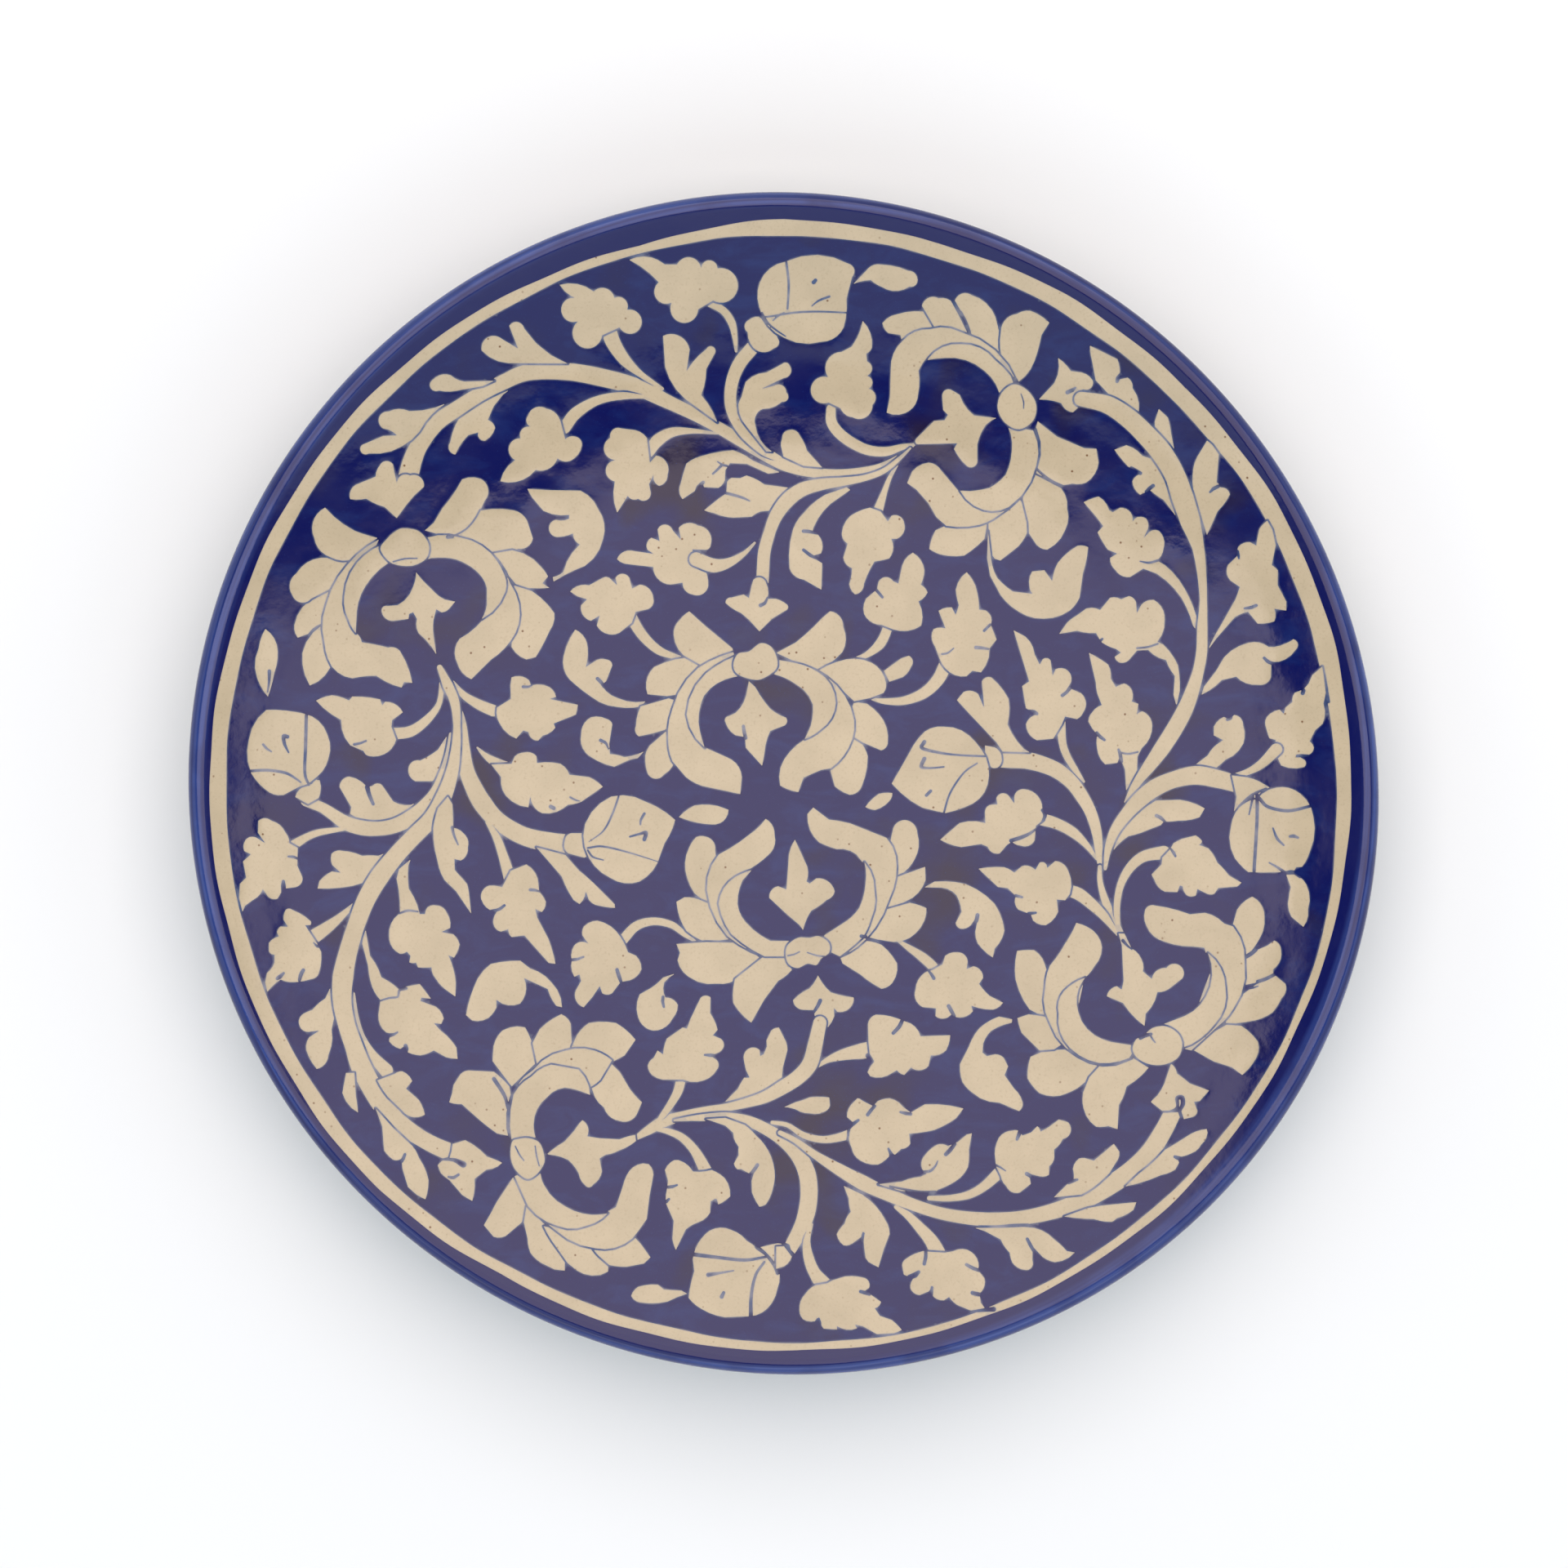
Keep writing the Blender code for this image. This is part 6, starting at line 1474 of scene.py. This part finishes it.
def turned_grid(r, z, nr, nz):
    """Points and normals for a grid of rings by azimuths. Each value may change round a ring."""
    azimuth = math.tau * np.arange(AROUND) / AROUND
    r = np.broadcast_to(r, (len(r), AROUND))
    reach = r + unevenness(r, azimuth)
    points = np.stack([reach * np.cos(azimuth), reach * np.sin(azimuth), np.broadcast_to(z, r.shape)], -1)
    normals = np.stack([nr * np.cos(azimuth), nr * np.sin(azimuth), np.broadcast_to(nz, r.shape)], -1)
    return points.reshape(-1, 3), normals.reshape(-1, 3)


def ring_faces(first, second):
    """Quads between two rings of point numbers; the second ring lies further along the section."""
    return np.stack([first, second, np.roll(second, -1), np.roll(first, -1)], 1)


def lip_rings():
    """The roll round the lip, from the first ring past the face's end to the back's first ring."""
    r, z, _, _, half = spine(SPINE_END_ANGLE)
    turn = SPINE_END_ANGLE + math.pi / 2 - math.pi * np.arange(1, LIP_STEPS)[:, None] / LIP_STEPS
    return turned_grid(r + half * np.cos(turn), z + half * np.sin(turn), np.cos(turn), np.sin(turn))


def back_rings(start, stop, steps):
    """Rings down the back between two radii, each of which may change round the plate."""
    share = np.linspace(0, 1, steps + 1)[:, None]
    angle = angle_at(start) * (1 - share) + angle_at(stop) * share
    return turned_grid(*skin(angle, -1))


def wrap_edge():
    """The brushed edge of the blue on the back: a radius for each azimuth."""
    azimuth = math.tau * np.arange(AROUND) / AROUND
    rng = np.random.default_rng(21)
    edge = np.full(AROUND, WRAP_RADIUS)
    for waves, high in ((5, 1.0), (9, 0.6), (17, 0.5), (31, 0.35), (53, 0.25), (97, 0.15)):
        edge = edge + high * np.cos(waves * azimuth + rng.uniform(0, math.tau))
    return edge


# ---------------------------------------------------------------- meshes


def closed_shell(name, points, normals, faces, thickness, values, material):
    """A closed shell: the given faces on top, the same faces thickness below, and walls between.

    faces is a list of arrays of point numbers, each with as many columns as its faces have corners.
    values holds point attributes by name.
    """
    used = np.unique(np.concatenate([f.ravel() for f in faces]))
    place = np.zeros(len(points), int)
    place[used] = np.arange(len(used))
    faces = [place[f] for f in faces]
    points = points[used]
    normals = normals[used]
    count = len(used)
    sides = np.concatenate([np.stack([f, np.roll(f, -1, axis=1)], -1).reshape(-1, 2) for f in faces])
    keys = sides[:, 0] * count + sides[:, 1]
    backwards = sides[:, 1] * count + sides[:, 0]
    a, b = sides[~np.isin(keys, backwards)].T
    walls = np.stack([b, a, a + count, b + count], 1)
    all_faces = []
    loop_normals = []
    for f in faces:
        all_faces += f.tolist()
        loop_normals.append(normals[f].reshape(-1, 3))
    for f in faces:
        turned = f[:, ::-1]
        all_faces += (turned + count).tolist()
        loop_normals.append(-normals[turned].reshape(-1, 3))
    all_faces += walls.tolist()
    along = points[a] - points[b]
    across = np.cross(along, -normals[b])
    across /= np.maximum(np.linalg.norm(across, axis=1), 1e-9)[:, None]
    loop_normals.append(np.repeat(across, 4, axis=0))
    mesh = bpy.data.meshes.new(name)
    everything = np.vstack([points, points - normals * thickness]) * MM
    mesh.from_pydata(everything.tolist(), [], all_faces)
    mesh.shade_smooth()
    mesh.normals_split_custom_set(np.concatenate(loop_normals).tolist())
    for label, numbers in values.items():
        attribute = mesh.attributes.new(label, "FLOAT", "POINT")
        attribute.data.foreach_set("value", np.tile(numbers[used], 2).astype(np.float32))
    mesh.materials.append(material)
    obj = bpy.data.objects.new(name, mesh)
    bpy.context.scene.collection.objects.link(obj)
    return obj


def place_face_glaze(field, cover):
    """The three shells of the painted face, and the cobalt one that rolls over the lip."""
    flat, triangles, region = flat_net(field)
    kind = painted_classes(flat, triangles, region, field)
    points, normals = lift(flat, relief_grid(cover))
    lip_points, lip_normals = lip_rings()
    wrap_points, wrap_normals = back_rings(np.full(AROUND, SPINE_END_RADIUS), wrap_edge(), WRAP_STEPS)
    count = len(points)
    rings = [np.arange(AROUND)]
    rings += [count + np.arange(AROUND) + AROUND * k for k in range(LIP_STEPS - 1 + WRAP_STEPS + 1)]
    rim_quads = np.concatenate([ring_faces(a, b) for a, b in zip(rings, rings[1:])])
    extra = np.full(len(lip_points) + len(wrap_points), 1.0)
    points = np.vstack([points, lip_points, wrap_points])
    normals = np.vstack([normals, lip_normals, wrap_normals])
    depth = np.clip(sample(field, *flat.T), -RING_OFFSET, RING_OFFSET)
    values = {
        "cover": np.concatenate([sample(cover, *flat.T), extra]),
        "edge": np.concatenate([depth, -RING_OFFSET * extra]),
    }
    shells = {
        "cobalt_ground": (0, cobalt_material("cobalt_ground_glaze")),
        "cream_motifs": (1, cream_material("cream_motif_glaze")),
        "cream_band": (2, cream_material("cream_band_glaze")),
        "cobalt_rim": (3, rim_material("cobalt_rim_glaze")),
    }
    for name, (number, material) in shells.items():
        faces = [triangles[kind == number]]
        if name == "cobalt_rim":
            faces.append(rim_quads)
        shell = closed_shell(name, points, normals, faces, GLAZE_SHELL, values, material)
        finish_piece(shell, "painted_glaze", "face_glaze")


def place_back_glaze():
    """The plain coat of the back, from the edge of the blue to just outside the foot ring."""
    azimuth = math.tau * np.arange(AROUND) / AROUND
    rng = np.random.default_rng(22)
    stop = np.full(AROUND, GLAZE_STOP_RADIUS)
    for waves, high in ((3, 0.5), (7, 0.35), (19, 0.2), (43, 0.12)):
        stop = stop + high * np.cos(waves * azimuth + rng.uniform(0, math.tau))
    points, normals = back_rings(wrap_edge(), stop, BACK_STEPS)
    rings = np.arange(len(points)).reshape(-1, AROUND)
    faces = [ring_faces(a, b) for a, b in zip(rings, rings[1:])]
    shell = closed_shell("back_glaze_coat", points, normals, faces, GLAZE_SHELL, {}, back_material())
    finish_piece(shell, "plain_glaze", "back_glaze")


def turned_solid(name, section, around, wobble, material, closed=False):
    """Turns a section of (radius, height) points into a closed body. wobble moves points in height."""
    azimuth = math.tau * np.arange(around) / around
    points = []
    rings = []
    for r, z in section:
        if r == 0.0:
            rings.append([len(points)])
            points.append((0.0, 0.0, z))
            continue
        reach = r + unevenness(r, azimuth)
        rings.append(list(range(len(points), len(points) + around)))
        heights = np.full(around, z) + wobble(r, z, azimuth)
        points += np.column_stack([reach * np.cos(azimuth), reach * np.sin(azimuth), heights]).tolist()
    faces = []
    pairs = list(zip(rings, rings[1:]))
    if closed:
        pairs.append((rings[-1], rings[0]))
    for first, second in pairs:
        for i in range(around):
            j = (i + 1) % around
            if len(first) == 1:
                faces.append((first[0], second[i], second[j]))
            elif len(second) == 1:
                faces.append((first[i], second[0], first[j]))
            else:
                faces.append((first[i], second[i], second[j], first[j]))
    mesh = bpy.data.meshes.new(name)
    mesh.from_pydata((np.array(points) * MM).tolist(), [], faces)
    mesh.shade_smooth()
    mesh.set_sharp_from_angle(angle=math.radians(35))
    mesh.materials.append(material)
    obj = bpy.data.objects.new(name, mesh)
    bpy.context.scene.collection.objects.link(obj)
    return obj


def underside_height(r):
    """Height of the bare underside at a radius."""
    if r <= FLOOR_RADIUS:
        return FOOT_HEIGHT
    return float(skin(angle_at(r), -1)[1])


def place_clay_body():
    """The thrown dish, with the turning tool's spiral on its bare underside."""
    angles = np.linspace(0, SPINE_END_ANGLE, 24)
    face_r, face_z, _, _ = skin(angles, 1, CLAY_INSET)
    section = [(0.0, SPINE_FLOOR_Z + FLOOR_HALF - CLAY_INSET)] + list(zip(face_r, face_z))
    r, z, _, _, half = spine(SPINE_END_ANGLE)
    for k in range(1, LIP_STEPS):
        turn = SPINE_END_ANGLE + math.pi / 2 - math.pi * k / LIP_STEPS
        section.append((r + (half - CLAY_INSET) * math.cos(turn), z + (half - CLAY_INSET) * math.sin(turn)))
    back = np.linspace(SPINE_END_ANGLE, angle_at(BARE_RADIUS + 1), 24)
    back_r, back_z, _, _ = skin(back, -1, CLAY_INSET)
    section += list(zip(back_r, back_z))
    bare = np.arange(BARE_RADIUS, 0.5, -TURNING_STEP / 5)
    section += [(radius, underside_height(radius)) for radius in bare]
    section.append((0.0, FOOT_HEIGHT))

    def spiral(radius, height, azimuth):
        """The groove of the turning tool, on the bare underside only."""
        if radius > BARE_RADIUS or height > FOOT_HEIGHT + 1.5:
            return 0.0
        fade = min(1.0, (BARE_RADIUS + 0.1 - radius) / 2) * min(1.0, radius / 4)
        return -TURNING_HEIGHT * fade * (1 + np.sin(math.tau * radius / TURNING_STEP + azimuth)) / 2

    body = turned_solid("clay_body", section, 240, spiral, clay_material("bare_dish_clay"))
    finish_piece(body, "dish_clay", "clay_dish")


def place_foot_ring():
    """The foot ring: tapered walls, softened corners, and a resting face worn slightly uneven."""
    corner = 1.6
    taper = 1.2
    gap = 0.3
    top_outer = FOOT_OUTER_RADIUS + taper
    top_inner = FOOT_INNER_RADIUS - taper
    quarter = [math.pi / 2 * k / 5 for k in range(6)]
    section = []
    for t in quarter:
        section.append((FOOT_OUTER_RADIUS - corner + corner * math.sin(t), corner - corner * math.cos(t)))
    section.append((FOOT_OUTER_RADIUS + taper / 2, FOOT_HEIGHT / 2))
    section.append((top_outer, underside_height(top_outer) - gap))
    section.append((top_inner, underside_height(top_inner) - gap))
    section.append((FOOT_INNER_RADIUS - taper / 2, FOOT_HEIGHT / 2))
    for t in quarter[::-1]:
        section.append((FOOT_INNER_RADIUS + corner - corner * math.sin(t), corner - corner * math.cos(t)))
    section.append((FOOT_INNER_RADIUS + 3.5, 0.0))

    def worn(radius, height, azimuth):
        """The resting face, worn down unevenly."""
        if height > 2:
            return 0.0
        return 0.06 * (1 + np.cos(7 * azimuth + radius) * np.cos(4 * azimuth))

    ring = turned_solid("foot_ring_turned", section, 240, worn, clay_material("foot_ring_clay"), True)
    finish_piece(ring, "foot_clay", "foot_ring")


def finish_piece(piece, slot, *nodes):
    """Rides the piece on the plate and hides the CAD nodes that it stands for. The slot is not used."""
    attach(piece, "root")
    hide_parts(*nodes)


# ---------------------------------------------------------------- materials


class Nodes:
    """Short names for building one Principled material."""

    def __init__(self, name, roughness):
        self.material = bpy.data.materials.new(name)
        self.material.use_nodes = True
        self.tree = self.material.node_tree
        self.shader = self.tree.nodes["Principled BSDF"]
        self.shader.inputs["Roughness"].default_value = roughness
        self.place = self.tree.nodes.new("ShaderNodeTexCoord").outputs["Object"]

    def link(self, output, target):
        """Connects one socket to another."""
        self.tree.links.new(output, target)

    def noise(self, scale, detail=3.0, roughness=0.5, stretch=None, distortion=0.0):
        """Noise from 0 to 1, with lumps of about 1 / scale metres."""
        node = self.tree.nodes.new("ShaderNodeTexNoise")
        node.inputs["Scale"].default_value = scale
        node.inputs["Detail"].default_value = detail
        node.inputs["Roughness"].default_value = roughness
        node.inputs["Distortion"].default_value = distortion
        place = self.place
        if stretch:
            mapping = self.tree.nodes.new("ShaderNodeMapping")
            mapping.inputs["Scale"].default_value = stretch
            self.link(place, mapping.inputs["Vector"])
            place = mapping.outputs["Vector"]
        self.link(place, node.inputs["Vector"])
        return node.outputs["Fac"]

    def ring_noise(self, along, across, detail=3.0):
        """Noise drawn out round the plate: lumps of 1 / along by 1 / across metres."""
        flat = self.tree.nodes.new("ShaderNodeVectorMath")
        flat.operation = "MULTIPLY"
        flat.inputs[1].default_value = (along, along, 0.0)
        self.link(self.place, flat.inputs[0])
        lift = self.tree.nodes.new("ShaderNodeCombineXYZ")
        self.link(self.maths("MULTIPLY", self.radius(), float(across)), lift.inputs["Z"])
        total = self.tree.nodes.new("ShaderNodeVectorMath")
        self.link(flat.outputs["Vector"], total.inputs[0])
        self.link(lift.outputs["Vector"], total.inputs[1])
        node = self.tree.nodes.new("ShaderNodeTexNoise")
        node.inputs["Scale"].default_value = 1.0
        node.inputs["Detail"].default_value = detail
        self.link(total.outputs["Vector"], node.inputs["Vector"])
        return node.outputs["Fac"]

    def radius(self):
        """Distance from the plate's axis in metres."""
        flat = self.tree.nodes.new("ShaderNodeVectorMath")
        flat.operation = "MULTIPLY"
        flat.inputs[1].default_value = (1.0, 1.0, 0.0)
        self.link(self.place, flat.inputs[0])
        length = self.tree.nodes.new("ShaderNodeVectorMath")
        length.operation = "LENGTH"
        self.link(flat.outputs["Vector"], length.inputs[0])
        return length.outputs["Value"]

    def spots(self, scale, size):
        """1 inside scattered round spots, 0 between them."""
        node = self.tree.nodes.new("ShaderNodeTexVoronoi")
        node.inputs["Scale"].default_value = scale
        self.link(self.place, node.inputs["Vector"])
        return self.span(node.outputs["Distance"], size, size * 0.4, 0.0, 1.0)

    def value(self, name):
        """A point attribute of the mesh."""
        node = self.tree.nodes.new("ShaderNodeAttribute")
        node.attribute_name = name
        return node.outputs["Fac"]

    def span(self, source, low, high, to_low=0.0, to_high=1.0):
        """Maps a range of source onto another range, clamped."""
        node = self.tree.nodes.new("ShaderNodeMapRange")
        limits = {"From Min": low, "From Max": high, "To Min": to_low, "To Max": to_high}
        for label, number in limits.items():
            node.inputs[label].default_value = number
        self.link(source, node.inputs["Value"])
        return node.outputs["Result"]

    def maths(self, operation, first, second):
        """Combines two numbers. Each is a float or a socket."""
        node = self.tree.nodes.new("ShaderNodeMath")
        node.operation = operation
        for socket, source in zip(node.inputs, (first, second)):
            if isinstance(source, float):
                socket.default_value = source
            else:
                self.link(source, socket)
        return node.outputs["Value"]

    def mix(self, share, first, second):
        """Mixes two colours. Each is a colour or a socket."""
        node = self.tree.nodes.new("ShaderNodeMix")
        node.data_type = "RGBA"
        self.link(share, node.inputs["Factor"])
        for socket, source in zip((node.inputs[6], node.inputs[7]), (first, second)):
            if isinstance(source, tuple):
                socket.default_value = (*source, 1.0)
            else:
                self.link(source, socket)
        return node.outputs[2]

    def bump(self, source, distance, strength=1.0, under=None):
        """A normal bent by a height of that distance in metres, on top of another normal."""
        node = self.tree.nodes.new("ShaderNodeBump")
        node.inputs["Distance"].default_value = distance
        node.inputs["Strength"].default_value = strength
        self.link(source, node.inputs["Height"])
        if under:
            self.link(under, node.inputs["Normal"])
        return node.outputs["Normal"]

    def finish(self, colour, roughness=None, normal=None):
        """Connects the shader's sockets and gives the material."""
        self.link(colour, self.shader.inputs["Base Color"])
        if roughness:
            self.link(roughness, self.shader.inputs["Roughness"])
        if normal:
            self.link(normal, self.shader.inputs["Normal"])
        return self.material


def glaze_surface(nodes):
    """Roughness and normal of fired glaze: faint orange peel and a few duller places."""
    roughness = nodes.span(nodes.noise(60, 4), 0.35, 0.7, GLAZE_ROUGHNESS * 0.8, GLAZE_ROUGHNESS * 1.4)
    peel = nodes.bump(nodes.noise(420, 2), 0.00004, 0.6)
    return roughness, nodes.bump(nodes.noise(90, 2), 0.00012, 0.5, peel)


def cobalt_material(name):
    """Brushed cobalt: deep where it pools, lighter where the brush ran dry, thin over cream lines."""
    nodes = Nodes(name, GLAZE_ROUGHNESS)
    strokes = nodes.noise(75, 5, 0.6, (1.0, 2.2, 1.0), 0.6)
    colour = nodes.mix(nodes.span(strokes, 0.48, 0.75, 0.0, 0.55), COBALT_DEEP, COBALT_LIGHT)
    colour = nodes.mix(nodes.span(nodes.noise(42, 3), 0.58, 0.76, 0.0, 0.6), colour, COBALT_PLUM)
    colour = nodes.mix(nodes.span(nodes.noise(34, 2), 0.61, 0.72, 0.0, 0.75), colour, IRON_POOL)
    pooled = nodes.span(nodes.value("edge"), -0.45, -0.05, 0.0, 0.55)
    colour = nodes.mix(pooled, colour, COBALT_DARK)
    thin = nodes.span(nodes.value("cover"), 0.75, 0.35, 0.0, 1.0)
    washed = nodes.mix(nodes.span(nodes.noise(180, 3), 0.35, 0.65), LINE_BLUE, LINE_PALE)
    colour = nodes.mix(thin, colour, washed)
    colour = nodes.mix(nodes.maths("MULTIPLY", nodes.spots(900, 0.16), 0.5), colour, COBALT_LIGHT)
    return nodes.finish(colour, *glaze_surface(nodes))


def cream_material(name):
    """Cream slip under clear glaze, with buff clouds, fine grit and tiny iron specks."""
    nodes = Nodes(name, GLAZE_ROUGHNESS)
    clouds = nodes.span(nodes.noise(70, 5, 0.6), 0.35, 0.7)
    colour = nodes.mix(clouds, CREAM_LIGHT, CREAM_BUFF)
    grit = nodes.span(nodes.noise(1500, 2), 0.55, 0.75, 0.0, 0.35)
    colour = nodes.mix(grit, colour, CREAM_GRIT)
    specks = nodes.maths("MULTIPLY", nodes.spots(330, 0.13), nodes.span(nodes.noise(40), 0.5, 0.6))
    colour = nodes.mix(specks, colour, IRON_BROWN)
    stain = nodes.span(nodes.value("edge"), 0.3, 0.0, 0.0, 0.35)
    colour = nodes.mix(stain, colour, LINE_PALE)
    return nodes.finish(colour, *glaze_surface(nodes))


def rim_material(name):
    """The rim's cobalt: streaks along the rim, and a painted highlight that lightens it on the roll of the
    lip.
    """
    nodes = Nodes(name, GLAZE_ROUGHNESS)
    # Painted highlight: the mask marks the roll of the lip, where the cobalt is painted lighter, streaked
    # along the rim
    bare = nodes.span(nodes.radius(), 0.1455, 0.1475)
    streaks = nodes.span(nodes.ring_noise(9, 700), 0.35, 0.65, 0.1, 1.0)
    colour = nodes.mix(nodes.maths("MULTIPLY", bare, streaks), COBALT_DEEP, COBALT_LIP_HIGHLIGHT)
    blotches = nodes.span(nodes.noise(60, 4), 0.5, 0.7, 0.0, 0.6)
    return nodes.finish(nodes.mix(blotches, colour, COBALT_DEEP), *glaze_surface(nodes))


def back_material():
    """The plain cream glaze of the back, with runs and pinholes."""
    nodes = Nodes("plain_back_glaze", GLAZE_ROUGHNESS)
    colour = nodes.mix(nodes.span(nodes.noise(22, 5, 0.6), 0.35, 0.7), CREAM_LIGHT, CREAM_BUFF)
    colour = nodes.mix(nodes.span(nodes.noise(1500, 2), 0.55, 0.75, 0.0, 0.35), colour, CREAM_GRIT)
    specks = nodes.maths("MULTIPLY", nodes.spots(260, 0.12), nodes.span(nodes.noise(35), 0.5, 0.6))
    colour = nodes.mix(specks, colour, IRON_BROWN)
    return nodes.finish(colour, *glaze_surface(nodes))


def clay_material(name):
    """Fired buff earthenware: sandy grain, warm clouds and darker grog."""
    nodes = Nodes(name, 0.9)
    colour = nodes.mix(nodes.span(nodes.noise(30, 5, 0.6), 0.35, 0.7), CLAY_LIGHT, CLAY_WARM)
    colour = nodes.mix(nodes.maths("MULTIPLY", nodes.spots(500, 0.2), 0.6), colour, CLAY_GROG)
    roughness = nodes.span(nodes.noise(200, 3), 0.3, 0.7, 0.78, 0.95)
    grain = nodes.bump(nodes.noise(1400, 3), 0.0002, 0.6)
    return nodes.finish(colour, roughness, nodes.bump(nodes.noise(180, 3), 0.0004, 0.5, grain))


def floor_material():
    """The pale matt floor of a studio."""
    nodes = Nodes("studio_floor", 0.9)
    nodes.shader.inputs["Specular IOR Level"].default_value = 0.1
    colour = nodes.mix(nodes.span(nodes.noise(3, 2), 0.3, 0.7), FLOOR_WHITE, FLOOR_PALE)
    return nodes.finish(colour)


# ---------------------------------------------------------------- studio


def place_floor():
    """A wide flat floor under the plate."""
    mesh = bpy.data.meshes.new("floor")
    s = 6.0
    mesh.from_pydata([(-s, -s, 0), (s, -s, 0), (s, s, 0), (-s, s, 0)], [], [(0, 1, 2, 3)])
    mesh.materials.append(floor_material())
    floor = bpy.data.objects.new("floor", mesh)
    bpy.context.scene.collection.objects.link(floor)
    floor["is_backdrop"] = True


def softbox(name, centre, size, turn, radiance, colour):
    """A rectangular light that faces straight down."""
    light = bpy.data.lights.new(name, "AREA")
    light.shape = "RECTANGLE"
    light.size, light.size_y = size
    light.energy = radiance * math.pi * size[0] * size[1]
    light.color = colour
    lamp = bpy.data.objects.new(name, light)
    lamp.location = centre
    lamp.rotation_euler = (0.0, 0.0, math.radians(turn))
    lamp.visible_camera = False
    bpy.context.scene.collection.objects.link(lamp)


def light_world():
    """A pale surround that is bright near the horizon and dark overhead."""
    world = bpy.data.worlds.new("studio")
    bpy.context.scene.world = world
    world.use_nodes = True
    tree = world.node_tree
    background = tree.nodes["Background"]
    place = tree.nodes.new("ShaderNodeTexCoord")
    parts = tree.nodes.new("ShaderNodeSeparateXYZ")
    fall = tree.nodes.new("ShaderNodeMapRange")
    tree.links.new(place.outputs["Generated"], parts.inputs["Vector"])
    tree.links.new(parts.outputs["Z"], fall.inputs["Value"])
    fall.inputs["From Min"].default_value = 0.60
    fall.inputs["From Max"].default_value = 0.74
    fall.inputs["To Min"].default_value = SURROUND_BRIGHT
    fall.inputs["To Max"].default_value = SURROUND_DARK
    tree.links.new(fall.outputs["Result"], background.inputs["Strength"])
    background.inputs["Color"].default_value = (0.92, 0.95, 1.0, 1.0)


def place_camera():
    """Looks straight down at the plate, as the plate is seen, from CAMERA_HEIGHT above the lip."""
    camera = bpy.data.cameras.new("camera")
    camera.sensor_width = SENSOR_WIDTH
    camera.lens = SENSOR_WIDTH * PLATE_SHARE_LENS
    holder = bpy.data.objects.new("camera", camera)
    holder.location = (0.0, CAMERA_DROP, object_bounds()[1][2] + CAMERA_HEIGHT)
    bpy.context.scene.collection.objects.link(holder)
    bpy.context.scene.camera = holder


def main():
    """Loads the frame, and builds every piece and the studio."""
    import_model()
    bpy.context.scene.view_settings.view_transform = "Standard"
    canvas = Canvas()
    paint_ornament(canvas)
    field = canvas.field()
    cover = box_blur(box_blur(field < 0, 4), 4)
    place_face_glaze(field, cover)
    place_back_glaze()
    place_clay_body()
    place_foot_ring()
    place_floor()
    softbox("overhead_softbox", (0.1, 1.25, 2.0), (2.7, 3.5), 1.0, 2.1, WARM_WHITE)
    softbox("low_softbox", (0.0, -2.3, 2.0), (4.0, 2.9), 0.0, 0.9, COOL_WHITE)
    light_world()
    place_camera()


main()
